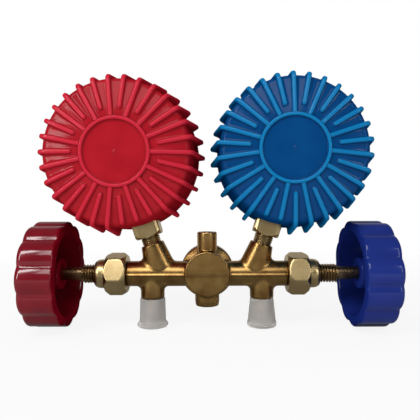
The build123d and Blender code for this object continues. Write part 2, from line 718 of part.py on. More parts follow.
def post(place, radius, start, end):
    """Round post between two heights."""
    with Locations((*place, start)):
        Cylinder(radius, end - start, align=(Align.CENTER, Align.CENTER, Align.MIN))


with BuildPart() as case:
    with BuildSketch(FACE.offset(CASE_BACK)):
        Circle(CASE_R)
    extrude(amount=CASE_FRONT - CASE_BACK)
    chamfer(case.edges().sort_by(Axis.Z)[0], CASE_CORNER)
    offset(amount=-CASE_WALL, openings=case.faces().sort_by(Axis.Z)[-1])
    with Locations((0, -CASE_R, TUBE_CENTRE_Z)):
        Box(
            SOCKET_BLOCK_WIDTH + 2 * SEATED,
            CASE_CORNER,
            SOCKET_BLOCK_FRONT - SOCKET_BLOCK_BACK + 2 * SEATED,
            mode=Mode.SUBTRACT,
        )

with BuildPart() as bezel:
    revolve(*turned(
        FACE,
        (CASE_R + SEATED, CASE_FRONT - BEZEL_SKIRT),
        (BEZEL_R, CASE_FRONT - BEZEL_SKIRT),
        (BEZEL_R, BEZEL_FRONT - BEZEL_BEVEL),
        (BEZEL_R - BEZEL_BEVEL, BEZEL_FRONT),
        (BEZEL_WINDOW_R, BEZEL_FRONT),
        (BEZEL_WINDOW_R, LENS_BACK + LENS_THICKNESS),
        (CASE_R + SEATED, LENS_BACK + LENS_THICKNESS),
    ))

with BuildPart() as lens:
    with BuildSketch(FACE.offset(LENS_BACK)):
        Circle(CASE_R - SEATED)
    extrude(amount=LENS_THICKNESS)

with BuildPart() as lens_gasket:
    with BuildSketch(FACE.offset(CASE_FRONT)):
        Circle(CASE_R - SEATED)
        Circle(CASE_R - LENS_GASKET_WIDTH, mode=Mode.SUBTRACT)
    extrude(amount=LENS_GASKET_THICKNESS)

with BuildPart() as dial:
    with BuildSketch(FACE.offset(DIAL_BACK)):
        Circle(DIAL_R)
        Circle(DIAL_HOLE_R, mode=Mode.SUBTRACT)
        with Locations(*DIAL_POSTS):
            Circle(DIAL_SCREW_D / 2 + SEATED, mode=Mode.SUBTRACT)
    extrude(amount=DIAL_THICKNESS)

with BuildPart() as dial_screws:
    dial_front = DIAL_BACK + DIAL_THICKNESS
    for place in DIAL_POSTS:
        post(place, DIAL_SCREW_HEAD_D / 2, dial_front, dial_front + DIAL_SCREW_HEAD)
        post(place, DIAL_SCREW_D / 2, dial_front - DIAL_SCREW_LENGTH, dial_front)
    with BuildSketch(FACE.offset(dial_front + DIAL_SCREW_HEAD)):
        with Locations(*DIAL_POSTS):
            Rectangle(DIAL_SCREW_HEAD_D, DIAL_SCREW_SLOT)
    extrude(amount=-DIAL_SCREW_SLOT, mode=Mode.SUBTRACT)

with BuildPart() as socket:
    foot = Plane((0, -SOCKET_SQUARE_END, 0), x_dir=(1, 0, 0), z_dir=(0, 1, 0))
    with BuildSketch(foot):
        Rectangle(SOCKET_SQUARE, SOCKET_SQUARE)
    extrude(amount=SOCKET_SQUARE_END - CASE_R - SOCKET_SHOULDER)
    revolve(*turned(
        foot,
        (0, 0),
        (SOCKET_SQUARE / 2, 0),
        (SOCKET_SQUARE / 2 + SOCKET_CHAMFER, SOCKET_CHAMFER),
        (SOCKET_SQUARE / 2 + SOCKET_CHAMFER, SOCKET_SQUARE_END - CASE_R - SOCKET_SHOULDER),
        (0, SOCKET_SQUARE_END - CASE_R - SOCKET_SHOULDER),
    ), mode=Mode.INTERSECT)
    with Locations((0, -CASE_R - SOCKET_SHOULDER, SOCKET_BLOCK_BACK)):
        Box(
            SOCKET_BLOCK_WIDTH,
            CASE_R + SOCKET_SHOULDER - SOCKET_BLOCK_TOP,
            SOCKET_BLOCK_FRONT - SOCKET_BLOCK_BACK,
            align=(Align.CENTER, Align.MIN, Align.MIN),
        )
    revolve(*turned(
        foot,
        (0, 0),
        (npt_radius(0), 0),
        (npt_radius(NPT_LENGTH), -NPT_LENGTH),
        (0, -NPT_LENGTH),
    ))
    with BuildSketch(foot.offset(-NPT_LENGTH)):
        Circle(SOCKET_BORE_D / 2)
    extrude(amount=NPT_LENGTH + SOCKET_SHOULDER + RISER_D, mode=Mode.SUBTRACT)
    with BuildSketch(foot.offset(SOCKET_SHOULDER)):
        # the foot's own y runs towards the back
        with Locations((0, -RISER_Z)):
            Circle(RISER_D / 2)
    extrude(amount=SOCKET_SQUARE_END - TUBE_R, mode=Mode.SUBTRACT)
    with BuildSketch(beside(facing(TUBE_START))):
        with Locations((TUBE_R, TUBE_CENTRE_Z)):
            Rectangle(TUBE_WIDTH + 2 * SEATED, TUBE_HEIGHT + 2 * SEATED)
    revolve(axis=Axis.Z, revolution_arc=-TUBE_SLOT_ARC, mode=Mode.SUBTRACT)

with BuildPart() as bourdon_tube:
    tube_sweep = 360 - TUBE_TIP + TUBE_START
    with BuildSketch(beside(facing(TUBE_TIP))):
        with Locations((TUBE_R, TUBE_CENTRE_Z)):
            Rectangle(TUBE_WIDTH, TUBE_HEIGHT)
    revolve(axis=Axis.Z, revolution_arc=tube_sweep)
    with BuildSketch(beside(facing(TUBE_TIP + TUBE_TIP_BLOCK))):
        with Locations((TUBE_R, TUBE_CENTRE_Z)):
            Rectangle(TUBE_WIDTH - 2 * TUBE_WALL, TUBE_HEIGHT - 2 * TUBE_WALL)
    revolve(axis=Axis.Z, revolution_arc=tube_sweep - TUBE_TIP_BLOCK, mode=Mode.SUBTRACT)
    post(TIP_PIN, TIP_PIN_D / 2, TUBE_CENTRE_Z, LINK_BACK + LINK_THICKNESS + PIN_STANDOUT)

plate_outline = hull_of(
    (-PLATE_HALF, PLATE_BOTTOM, PLATE_CORNER),
    (PLATE_HALF, PLATE_BOTTOM, PLATE_CORNER),
    (PLATE_HALF, DIAL_POSTS[0][1], PLATE_CORNER),
    (-PLATE_HALF, DIAL_POSTS[0][1], PLATE_CORNER),
    (0, PLATE_TOP, PLATE_CORNER),
)
with BuildPart() as back_plate:
    with BuildSketch(FACE.offset(PLATE_BACK)):
        add(plate_outline)
        with Locations((0, 0)):
            Circle(ARBOR_D / 2 + RUNNING, mode=Mode.SUBTRACT)
        with Locations(SECTOR_ARBOR):
            Circle(SECTOR_ARBOR_D / 2 + RUNNING, mode=Mode.SUBTRACT)
    extrude(amount=PLATE_THICKNESS)
    for place in PILLARS:
        post(place, PILLAR_D / 2, PLATE_INNER, FRONT_PLATE_BACK)

with BuildPart() as front_plate:
    with BuildSketch(FACE.offset(FRONT_PLATE_BACK)):
        add(plate_outline)
        with Locations((0, 0)):
            Circle(ARBOR_D / 2 + RUNNING, mode=Mode.SUBTRACT)
        with Locations(SECTOR_ARBOR):
            Circle(SECTOR_ARBOR_D / 2 + RUNNING, mode=Mode.SUBTRACT)
    extrude(amount=PLATE_THICKNESS)
    for place in DIAL_POSTS:
        post(place, DIAL_POST_D / 2, FRONT_PLATE_BACK, DIAL_BACK)
    post(HAIRSPRING_STUD, HAIRSPRING_STUD_R, HAIRSPRING_BACK, FRONT_PLATE_BACK)
    with BuildSketch(FACE.offset(DIAL_BACK)):
        with Locations(*DIAL_POSTS):
            Circle(DIAL_SCREW_D / 2 + SEATED)
    extrude(amount=-DIAL_SCREW_LENGTH, mode=Mode.SUBTRACT)

with BuildPart() as sector_gear:
    root_r = SECTOR_PITCH_R - DEDENDUM * MODULE
    first = MESH_BEARING - SECTOR_LAST_TOOTH * SECTOR_STEP
    last = first + (SECTOR_CUT - 1) * SECTOR_STEP
    low_end, high_end = first - SECTOR_STEP, last + SECTOR_STEP
    middle = (low_end + high_end) / 2
    window_r = root_r - SECTOR_RIM
    with BuildSketch(Plane((*SECTOR_ARBOR, SECTOR_BACK))):
        with BuildLine():
            Line((0, 0), polar(root_r, low_end))
            ThreePointArc(polar(root_r, low_end), polar(root_r, middle), polar(root_r, high_end))
            Line(polar(root_r, high_end), (0, 0))
        make_face()
        with BuildLine():
            near_low = polar(SECTOR_WINDOW_R, middle - SECTOR_STEP)
            near_high = polar(SECTOR_WINDOW_R, middle + SECTOR_STEP)
            far_low = polar(window_r, low_end + SECTOR_SPOKE)
            far_high = polar(window_r, high_end - SECTOR_SPOKE)
            Line(near_low, far_low)
            ThreePointArc(far_low, polar(window_r, middle), far_high)
            Line(far_high, near_high)
            Line(near_high, near_low)
        make_face(mode=Mode.SUBTRACT)
        Circle(SECTOR_HUB_R)
        add(hull_of((0, 0, TAIL_WIDTH / 2), (*polar(TAIL_LENGTH, TAIL_BEARING), TAIL_WIDTH / 2)))
        for tooth in range(SECTOR_CUT):
            with PolarLocations(0, 1, start_angle=first + tooth * SECTOR_STEP):
                add(tooth_face(SECTOR_TEETH, TOOTH_THINNING))
    extrude(amount=SECTOR_THICKNESS)
    post(SECTOR_ARBOR, SECTOR_ARBOR_D / 2, PLATE_BACK + ARBOR_END_GAP, FRONT_PLATE_BACK + PLATE_THICKNESS)
    post(TAIL_END, LINK_PIN_D / 2, SECTOR_BACK, LINK_BACK + LINK_THICKNESS + PIN_STANDOUT)

with BuildPart() as link:
    with BuildSketch(FACE.offset(LINK_BACK)):
        add(hull_of((*TAIL_END, LINK_WIDTH / 2), (*TIP_PIN, LINK_WIDTH / 2)))
        with Locations(TAIL_END):
            Circle(LINK_PIN_D / 2 + RUNNING, mode=Mode.SUBTRACT)
        with Locations(TIP_PIN):
            Circle(TIP_PIN_D / 2 + PIVOT_SLACK, mode=Mode.SUBTRACT)
    extrude(amount=LINK_THICKNESS)

with BuildPart() as pinion:
    with BuildSketch(FACE.offset(PINION_BACK)):
        Circle(PINION_PITCH_R - DEDENDUM * MODULE)
        with PolarLocations(0, PINION_TEETH, start_angle=SECTOR_BEARING + 180 / PINION_TEETH):
            add(tooth_face(PINION_TEETH, TOOTH_THINNING))
    extrude(amount=PINION_LENGTH)
    post((0, 0), ARBOR_D / 2, PLATE_BACK + ARBOR_END_GAP, POINTER_BACK + POINTER_THICKNESS)
    collet_r = HAIRSPRING_INNER_R - HAIRSPRING_STRIP / 2
    post((0, 0), collet_r, HAIRSPRING_BACK, HAIRSPRING_BACK + HAIRSPRING_WIDTH)

with BuildPart() as hairspring:
    half_turns = 2 * HAIRSPRING_TURNS
    grow = HAIRSPRING_PITCH / 2
    with BuildSketch(FACE.offset(HAIRSPRING_BACK)):
        for turn in range(half_turns):
            # half rings about two centres in turn make an even spiral
            upper = turn % 2 == 0
            radius = HAIRSPRING_INNER_R + turn * grow
            outer = radius + HAIRSPRING_STRIP / 2
            with BuildSketch(mode=Mode.PRIVATE) as half_ring:
                Circle(outer)
                Circle(radius - HAIRSPRING_STRIP / 2, mode=Mode.SUBTRACT)
                other_half = Align.MAX if upper else Align.MIN
                Rectangle(2 * outer, outer, align=(Align.CENTER, other_half), mode=Mode.SUBTRACT)
            with Locations((0 if upper else grow, 0)):
                add(half_ring.sketch)
    extrude(amount=HAIRSPRING_WIDTH)

with BuildPart() as pointer:
    with BuildSketch(facing(POINTER_ZERO).offset(POINTER_BACK)):
        with BuildLine():
            Polyline(
                (POINTER_REACH, 0),
                (0, POINTER_WIDTH / 2),
                (-POINTER_TAIL, POINTER_TAIL_WIDTH / 2),
                (-POINTER_TAIL, -POINTER_TAIL_WIDTH / 2),
                (0, -POINTER_WIDTH / 2),
                close=True,
            )
        make_face()
        Circle(POINTER_HUB_R)
        Circle(ARBOR_D / 2 + SEATED, mode=Mode.SUBTRACT)
    extrude(amount=POINTER_THICKNESS)


def make_fin(start):
    """One fin along X, from a radius on the back round to its cut end."""
    with BuildPart(mode=Mode.PRIVATE) as fin:
        with BuildSketch(beside(FACE)) as blade:
            with BuildLine():
                Polyline(
                    (start, BOOT_BACK),
                    (FIN_REAR_R, BOOT_CORNER_Z - FIN_ON_BACK),
                    (FIN_FRONT_R, FIN_END_Z),
                    (BOOT_FRONT_R - FIN_ROOT, FIN_END_Z + FIN_CUT),
                    (CASE_R + FIN_ROOT, FIN_END_Z),
                    (CASE_R + FIN_ROOT, CASE_BACK + CASE_CORNER / 2),
                    (CASE_R - CASE_CORNER / 2, CASE_BACK - FIN_ROOT),
                    (start, CASE_BACK - FIN_ROOT),
                    close=True,
                )
            make_face()
            outer = [v for v in blade.vertices() if abs(v.X - FIN_REAR_R) < SEATED]
            fillet(outer, FIN_CORNER)
        extrude(amount=FIN_WIDTH / 2, both=True)
    return fin.part


def make_boot(fin_turn):
    """Moulded boot: a domed cup with long and short fins in turn."""
    long_fin = make_fin(BOOT_RING_R - BOOT_RING_WIDTH / 2)
    short_fin = make_fin(BOOT_RING_R + SHORT_FIN_GAP)
    dome_edge = BOOT_BACK + FIN_ON_BACK
    dome_rim = (BOOT_REAR_R - BOOT_CORNER, BOOT_CORNER_Z)
    half_turn = BOOT_CORNER * (1 - sin(pi / 4))
    with BuildPart(mode=Mode.PRIVATE) as boot:
        with BuildSketch(beside(FACE)):
            with BuildLine():
                Polyline(
                    dome_rim,
                    (BOOT_REAR_R - half_turn, BOOT_CORNER_Z + half_turn),
                    (BOOT_REAR_R, BOOT_CORNER_Z + BOOT_CORNER),
                    (BOOT_FRONT_R, BOOT_FRONT - BOOT_LIP_BEVEL),
                    (BOOT_FRONT_R - BOOT_LIP_BEVEL, BOOT_FRONT),
                    (0, BOOT_FRONT),
                    (0, BOOT_BACK + BOOT_DISC_RECESS),
                    (BOOT_RING_R - BOOT_RING_WIDTH, BOOT_BACK + BOOT_DISC_RECESS),
                    (BOOT_RING_R - BOOT_RING_WIDTH, BOOT_BACK),
                    (BOOT_RING_R, BOOT_BACK),
                    (BOOT_RING_R, dome_edge),
                )
                RadiusArc((BOOT_RING_R, dome_edge), dome_rim, DOME_RADIUS)
            make_face()
        revolve(axis=Axis.Z)
        with PolarLocations(0, FINS // 2, start_angle=90 + LONG_FIN_TURN + fin_turn):
            add(long_fin)
        with PolarLocations(0, FINS // 2, start_angle=90 + LONG_FIN_TURN + fin_turn + 360 / FINS):
            add(short_fin)
        # the case and the bezel sit in here, and the dial shows through the lip
        revolve(*turned(
            FACE,
            (0, CASE_BACK - SEATED),
            (CASE_R + SEATED - CASE_CORNER, CASE_BACK - SEATED),
            (CASE_R + SEATED, CASE_BACK - SEATED + CASE_CORNER),
            (CASE_R + SEATED, CASE_FRONT - BEZEL_SKIRT - SEATED),
            (BEZEL_R + SEATED, CASE_FRONT - BEZEL_SKIRT - SEATED),
            (BEZEL_R + SEATED, BEZEL_FRONT + SEATED),
            (BOOT_LIP_R, BEZEL_FRONT + SEATED),
            (BOOT_LIP_R, BOOT_FRONT),
            (0, BOOT_FRONT),
        ), mode=Mode.SUBTRACT)
        stem_way = SOCKET_SQUARE + 2 * BOOT_STEM_GAP
        with Locations((0, -CASE_R, 0)):
            Box(
                stem_way, FIN_FRONT_R, stem_way,
                align=(Align.CENTER, Align.CENTER, Align.CENTER), mode=Mode.SUBTRACT,
            )
    return boot


gauge_pieces = {
    "case": case,
    "bezel": bezel,
    "lens": lens,
    "lens_gasket": lens_gasket,
    "dial": dial,
    "dial_screws": dial_screws,
    "socket": socket,
    "bourdon_tube": bourdon_tube,
    "link": link,
    "back_plate": back_plate,
    "front_plate": front_plate,
    "sector_gear": sector_gear,
    "pinion": pinion,
    "hairspring": hairspring,
    "pointer": pointer,
}
for side in SIDES:
    pieces = {**gauge_pieces, "boot": make_boot(FIN_TURN[side])}
    for node, piece in pieces.items():
        with BuildPart(gauge_plane(side)) as placed:
            add(piece.part)
        write(placed, f"{side}_{node}")
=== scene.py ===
import json
from math import asin, atan2, cos, degrees, pi, radians, sin, sqrt, tan

import bmesh
import bpy
from mathutils import Matrix, Vector


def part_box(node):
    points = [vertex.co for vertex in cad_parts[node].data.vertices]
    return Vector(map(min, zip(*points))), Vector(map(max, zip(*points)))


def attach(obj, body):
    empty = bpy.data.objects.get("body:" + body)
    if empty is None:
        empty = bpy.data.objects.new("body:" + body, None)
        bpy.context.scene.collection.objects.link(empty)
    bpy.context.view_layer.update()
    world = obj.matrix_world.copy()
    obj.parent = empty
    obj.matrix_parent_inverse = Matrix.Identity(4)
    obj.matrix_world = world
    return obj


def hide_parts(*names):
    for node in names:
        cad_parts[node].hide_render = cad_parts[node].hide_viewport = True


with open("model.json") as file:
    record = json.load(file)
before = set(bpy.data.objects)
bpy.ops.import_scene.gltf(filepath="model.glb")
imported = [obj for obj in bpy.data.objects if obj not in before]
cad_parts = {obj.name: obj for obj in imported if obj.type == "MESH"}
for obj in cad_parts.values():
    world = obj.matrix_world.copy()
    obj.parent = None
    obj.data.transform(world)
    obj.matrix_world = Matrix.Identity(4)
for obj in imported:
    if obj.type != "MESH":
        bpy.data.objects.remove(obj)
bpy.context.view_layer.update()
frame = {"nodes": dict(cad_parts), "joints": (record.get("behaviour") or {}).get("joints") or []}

MM = 0.001
SIDES = {"high": -1, "low": 1}
joints = {joint["name"]: joint for joint in frame["joints"]}
stem_low, stem_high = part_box("high_valve_stem")
AXIS_Z = (stem_low.z + stem_high.z) / 2 / MM       # height of the valve axis
BOSS_FOOT_X = 24.25                                # where a gauge's stem meets the valve axis


# ------------------------------------------------------------------ places
def gauge_place(side):
    """The gauge's own frame: Z towards the dial's viewer, Y up the stem."""
    joint = joints[f"{side}_needle_turn"]
    centre = Vector(joint["pos_m"])
    foot = Vector((SIDES[side] * BOSS_FOOT_X * MM, 0, AXIS_Z * MM))
    front, up = Vector(joint["axis"]).normalized(), (centre - foot).normalized()
    turn = Matrix((up.cross(front), up, front)).transposed().to_4x4()
    return Matrix.Translation(centre) @ turn @ Matrix.Scale(MM, 4)


def valve_place(side, start):
    """Frame on a valve's axis, Z outwards from a distance along the manifold."""
    sign = SIDES[side]
    turn = Matrix(((0, -1, 0), (0, 0, -sign), (sign, 0, 0))).transposed().to_4x4()
    return Matrix.Translation((sign * start * MM, 0, AXIS_Z * MM)) @ turn @ Matrix.Scale(MM, 4)


def down_place(x, z):
    """Frame of a port or cap, Z down from a height."""
    turn = Matrix.Rotation(pi, 4, "X")
    return Matrix.Translation((x * MM, 0, z * MM)) @ turn @ Matrix.Scale(MM, 4)


# ------------------------------------------------------------------ meshes
def piece(name, mesh, place, body, material, slot, *nodes):
    """Puts a mesh made in millimetres in its place and lets it ride on a body."""
    mesh.transform(place)
    made = bpy.data.objects.new(name, mesh)
    bpy.context.scene.collection.objects.link(made)
    made.data.materials.append(material)
    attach(made, body)
    if nodes:
        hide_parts(*nodes)
    return made


def skin(name, rows, close_start=False, crease=35, crests=None):
    """Mesh over rings of points that all have the same count, sharp where it turns steeply."""
    mesh = bmesh.new()
    rings = [[mesh.verts.new(point) for point in row] for row in rows]
    count = len(rings[0])
    for first, second in zip(rings, rings[1:]):
        for k in range(count):
            after = (k + 1) % count
            mesh.faces.new((first[k], first[after], second[after], second[k]))
    if close_start:
        mesh.faces.new(rings[0])
    bmesh.ops.recalc_face_normals(mesh, faces=mesh.faces)
    data = bpy.data.meshes.new(name)
    mesh.to_mesh(data)
    mesh.free()
    for face in data.polygons:
        face.use_smooth = True
    data.set_sharp_from_angle(angle=radians(crease))
    # crest values per point drive the boots' painted highlight
    if crests:
        values = data.attributes.new("crest", "FLOAT", "POINT")
        values.data.foreach_set("value", [value for row in crests for value in row])
    return data


def thread_cut(angle, height, pitch, depth, steepness=2.6, crest=0.15):
    """How much a thread takes off the radius at an angle and height."""
    phase = (height / pitch - angle / 2 / pi) % 1
    return depth * min(1, max(0, abs(phase - 0.5) * steepness - crest))


def lathe(name, profile, count=96, outline=None):
    """Turned mesh from (height, radius) points, which may have a thread's pitch and depth too.

    outline(angle, radius) may reshape each ring.
    """
    rows = []
    for height, radius, *thread in profile:
        ring = []
        for k in range(count):
            angle = 2 * pi * k / count
            reach = outline(angle, radius) if outline else radius
            if thread:
                reach -= thread_cut(angle, height, *thread)
            ring.append((reach * cos(angle), reach * sin(angle), height))
        rows.append(ring)
    return skin(name, rows)


def thread_profile(start, end, radius, pitch, depth):
    """Points along a thread for lathe, ten to a pitch."""
    steps = int((end - start) / pitch * 10)
    return [(start + (end - start) * k / steps, radius, pitch, depth) for k in range(steps + 1)]


def arc_points(centre, radius, start, end, steps):
    """Points on an arc, angles in degrees."""
    return [
        (centre[0] + radius * cos(radians(start + (end - start) * k / steps)),
         centre[1] + radius * sin(radians(start + (end - start) * k / steps)))
        for k in range(steps + 1)
    ]


def line_points(start, end, steps):
    """Evenly spaced points from one to another, without the last."""
    return [
        tuple(a + (b - a) * k / steps for a, b in zip(start, end))
        for k in range(steps)
    ]


# --------------------------------------------------------------- materials
METAL_PATCHES, RUBBER_PATCHES = 0.12, 0.08         # cells of uneven tone per millimetre


def nodes_of(name):
    """A new material with its node tree, shader and texture coordinates."""
    made = bpy.data.materials.new(name)
    made.use_nodes = True
    tree = made.node_tree
    shader = tree.nodes["Principled BSDF"]
    places = tree.nodes.new("ShaderNodeTexCoord")
    return made, tree, shader, places


def noise(tree, places, scale, detail=3.0, stretch=(1, 1, 1)):
    """Noise in the object's own space, in cells per millimetre."""
    mapping = tree.nodes.new("ShaderNodeMapping")
    mapping.inputs["Scale"].default_value = [s / MM for s in stretch]
    texture = tree.nodes.new("ShaderNodeTexNoise")
    texture.inputs["Scale"].default_value = scale
    texture.inputs["Detail"].default_value = detail
    tree.links.new(places.outputs["Object"], mapping.inputs["Vector"])
    tree.links.new(mapping.outputs["Vector"], texture.inputs["Vector"])
    return texture.outputs["Fac"]


def math_of(tree, operation, first, second):
    """Math node; each input is a socket or a number."""
    made = tree.nodes.new("ShaderNodeMath")
    made.operation = operation
    for value, socket in ((first, made.inputs[0]), (second, made.inputs[1])):
        if isinstance(value, float):
            socket.default_value = value
        else:
            tree.links.new(value, socket)
    return made.outputs[0]


def range_of(tree, value, low, high, start=0.0, end=1.0):
    """Maps a value from one range to another."""
    made = tree.nodes.new("ShaderNodeMapRange")
    for name, number in (("From Min", start), ("From Max", end), ("To Min", low), ("To Max", high)):
        made.inputs[name].default_value = number
    tree.links.new(value, made.inputs["Value"])
    return made.outputs["Result"]


def ramp(tree, value, stops):
    """Colour ramp over a value from (place, colour) stops."""
    made = tree.nodes.new("ShaderNodeValToRGB")
    elements = made.color_ramp.elements
    while len(elements) < len(stops):
        elements.new(0.5)
    for element, (place, colour) in zip(elements, stops):
        element.position = place
        element.color = (*colour, 1)
    tree.links.new(value, made.inputs["Fac"])
    return made.outputs["Color"]


def spread(tree, value, low, high):
    """Maps a noise's middle range to a range of values."""
    return range_of(tree, value, low, high, 0.3, 0.7)


def bump(tree, shader, value, distance):
    """Bump of a real depth in millimetres."""
    made = tree.nodes.new("ShaderNodeBump")
    made.inputs["Distance"].default_value = distance * MM
    made.inputs["Strength"].default_value = 1.0
    tree.links.new(value, made.inputs["Height"])
    tree.links.new(made.outputs["Normal"], shader.inputs["Normal"])


def shaded(tree, colour, reach, depth):
    """Darkens a colour in corners and grooves by ambient occlusion: painted shade."""
    corners = tree.nodes.new("ShaderNodeAmbientOcclusion")
    corners.samples = 8
    corners.inputs["Distance"].default_value = reach * MM
    made = tree.nodes.new("ShaderNodeMix")
    made.data_type = "RGBA"
    made.blend_type = "MULTIPLY"
    made.inputs["Factor"].default_value = 1.0
    tree.links.new(colour, made.inputs["A"])
    # painted shade: the colour is multiplied down where ambient occlusion finds nearby surfaces
    painted_shade = ramp(tree, corners.outputs["AO"], ((0.25, (depth, depth, depth)), (0.95, (1, 1, 1))))
    tree.links.new(painted_shade, made.inputs["B"])
    return made.outputs["Result"]


def metal(name, dark, light, rough, grain, depth, stretch=(1, 1, 1)):
    """Metal with patchy tone, painted shade in its corners, uneven gloss and a fine grain."""
    made, tree, shader, places = nodes_of(name)
    shader.inputs["Metallic"].default_value = 1.0
    tone = noise(tree, places, METAL_PATCHES, 4.0)
    colour = ramp(tree, tone, ((0.3, dark), (0.7, light)))
    # painted shade in corners and grooves within 3 mm
    tree.links.new(shaded(tree, colour, 3.0, 0.35), shader.inputs["Base Color"])
    fine = noise(tree, places, grain, 4.0, stretch)
    tree.links.new(spread(tree, fine, rough[0], rough[1]), shader.inputs["Roughness"])
    bump(tree, shader, fine, depth)
    return made


def moulded(
    name, dark, light, rough, grain, depth,
    ior=1.45, polish=None, reach=4.0, corner=1.0, crest=None,
):
    """Moulded rubber or plastic with a fine skin, painted shade in its corners and a painted highlight on its
    crests.

    The mould is polished for some faces: polish gives an axis and the gloss across and along it.
    """
    made, tree, shader, places = nodes_of(name)
    tone = noise(tree, places, RUBBER_PATCHES, 4.0)
    colour = ramp(tree, tone, ((0.3, dark), (0.7, light)))
    if crest:
        # painted highlight: where the crest attribute is high the colour is mixed towards the lighter crest
        # colour
        heights = tree.nodes.new("ShaderNodeAttribute")
        heights.attribute_name = "crest"
        crest_highlight = tree.nodes.new("ShaderNodeMix")
        crest_highlight.data_type = "RGBA"
        crest_highlight.inputs["B"].default_value = (*crest, 1)
        tree.links.new(range_of(tree, heights.outputs["Fac"], 0.0, 1.0, 0.15, 1.0), crest_highlight.inputs["Factor"])
        tree.links.new(colour, crest_highlight.inputs["A"])
        colour = crest_highlight.outputs["Result"]
    # painted shade: corners darkened by ambient occlusion within reach millimetres, down to corner times the
    # colour
    tree.links.new(shaded(tree, colour, reach, corner), shader.inputs["Base Color"])
    shader.inputs["IOR"].default_value = ior
    if polish:
        axis, across, along_it = polish
        facing = tree.nodes.new("ShaderNodeSeparateXYZ")
        tree.links.new(places.outputs["Normal"], facing.inputs["Vector"])
        squared = math_of(tree, "POWER", facing.outputs[axis], 2.0)
        tree.links.new(range_of(tree, squared, across, along_it, 0.2, 0.55), shader.inputs["Coat Weight"])
        shader.inputs["Coat Roughness"].default_value = 0.12
        shader.inputs["Coat IOR"].default_value = 1.6
    fine = noise(tree, places, grain, 3.0)
    tree.links.new(spread(tree, fine, rough[0], rough[1]), shader.inputs["Roughness"])
    bump(tree, shader, fine, depth)
    return made


def clear(name, tint, rough):
    """Clear lens with faint wiping marks in its gloss."""
    made, tree, shader, places = nodes_of(name)
    shader.inputs["Transmission Weight"].default_value = 1.0
    shader.inputs["IOR"].default_value = 1.49
    marks = noise(tree, places, 0.3, 5.0, (1, 1, 4))
    tree.links.new(ramp(tree, marks, ((0.3, tint), (0.7, (0.97, 0.98, 0.98)))), shader.inputs["Base Color"])
    tree.links.new(spread(tree, marks, rough[0], rough[1]), shader.inputs["Roughness"])
    return made


def frosted(name):
    """Soft milky plastic of the dust caps."""
    made, tree, shader, places = nodes_of(name)
    cloud = noise(tree, places, 0.25, 4.0)
    milky = ramp(tree, cloud, ((0.3, (0.88, 0.85, 0.81)), (0.7, (0.95, 0.93, 0.90))))
    tree.links.new(milky, shader.inputs["Base Color"])
    shader.inputs["Transmission Weight"].default_value = 0.72
    shader.inputs["IOR"].default_value = 1.2
    fine = noise(tree, places, 2.5, 3.0)
    tree.links.new(spread(tree, fine, 0.30, 0.42), shader.inputs["Roughness"])
    bump(tree, shader, fine, 0.03)
    return made


forged = metal("forged_brass", (0.30, 0.155, 0.048), (0.52, 0.33, 0.115), (0.24, 0.34), 0.22, 0.012)
turned = metal(
    "turned_brass", (0.58, 0.42, 0.19), (0.72, 0.55, 0.28), (0.26, 0.36), 1.2, 0.012, (6, 0.6, 0.6),
)
stem_brass = metal("stem_brass", (0.36, 0.24, 0.12), (0.52, 0.37, 0.19), (0.24, 0.36), 1.0, 0.01)
movement = metal("movement_brass", (0.62, 0.48, 0.22), (0.72, 0.58, 0.30), (0.20, 0.35), 1.5, 0.01)
bronze = metal("bronze_tube", (0.50, 0.30, 0.16), (0.60, 0.40, 0.22), (0.25, 0.40), 1.0, 0.01)
steel = metal("screw_steel", (0.50, 0.50, 0.50), (0.62, 0.62, 0.61), (0.22, 0.38), 2.0, 0.015)
# the boots' crest colours are a painted highlight on fin crests and the ring; reach and corner set their
# painted shade
red_rubber = moulded(
    "red_rubber", (0.37, 0.009, 0.017), (0.45, 0.012, 0.022), (0.20, 0.30), 0.5, 0.01,
    ior=1.0, polish=("Y", 0.0, 0.2), reach=4.0, corner=0.5, crest=(0.58, 0.020, 0.042),
)
blue_rubber = moulded(
    "blue_rubber", (0.001, 0.050, 0.185), (0.002, 0.062, 0.22), (0.20, 0.30), 0.5, 0.01,
    ior=1.0, polish=("Y", 0.0, 0.2), reach=4.0, corner=0.55, crest=(0.005, 0.185, 0.44),
)
# reach and corner give deep painted shade inside the wheels' hollows
red_plastic = moulded(
    "red_plastic", (0.165, 0.002, 0.009), (0.22, 0.003, 0.013), (0.12, 0.20), 0.5, 0.01,
    ior=1.0, polish=("X", 1.0, 0.0), reach=12.0, corner=0.25,
)
navy_plastic = moulded(
    "navy_plastic", (0.010, 0.024, 0.19), (0.014, 0.032, 0.23), (0.20, 0.30), 0.5, 0.01,
    ior=1.0, polish=("X", 0.6, 0.0), reach=9.0, corner=0.20,
)
ptfe = moulded("white_ptfe", (0.78, 0.78, 0.76), (0.84, 0.84, 0.82), (0.4, 0.5), 2.0, 0.01)
black_rubber = moulded("black_rubber", (0.010, 0.010, 0.010), (0.018, 0.018, 0.018), (0.5, 0.65), 2.0, 0.02)
enamel = moulded("case_enamel", (0.010, 0.010, 0.011), (0.016, 0.016, 0.017), (0.25, 0.35), 1.5, 0.01)
dial_paint = moulded("dial_paint", (0.80, 0.80, 0.77), (0.85, 0.85, 0.82), (0.45, 0.55), 3.0, 0.006)
black_ink = moulded("black_ink", (0.008, 0.008, 0.008), (0.014, 0.014, 0.014), (0.45, 0.55), 3.0, 0.004)
red_ink = moulded("red_ink", (0.45, 0.015, 0.015), (0.52, 0.02, 0.02), (0.45, 0.55), 3.0, 0.004)
blue_ink = moulded("blue_ink", (0.01, 0.12, 0.40), (0.015, 0.15, 0.46), (0.45, 0.55), 3.0, 0.004)
lens_clear = clear("clear_lens", (0.90, 0.93, 0.93), (0.0, 0.03))
cap_milky = frosted("frosted_caps")

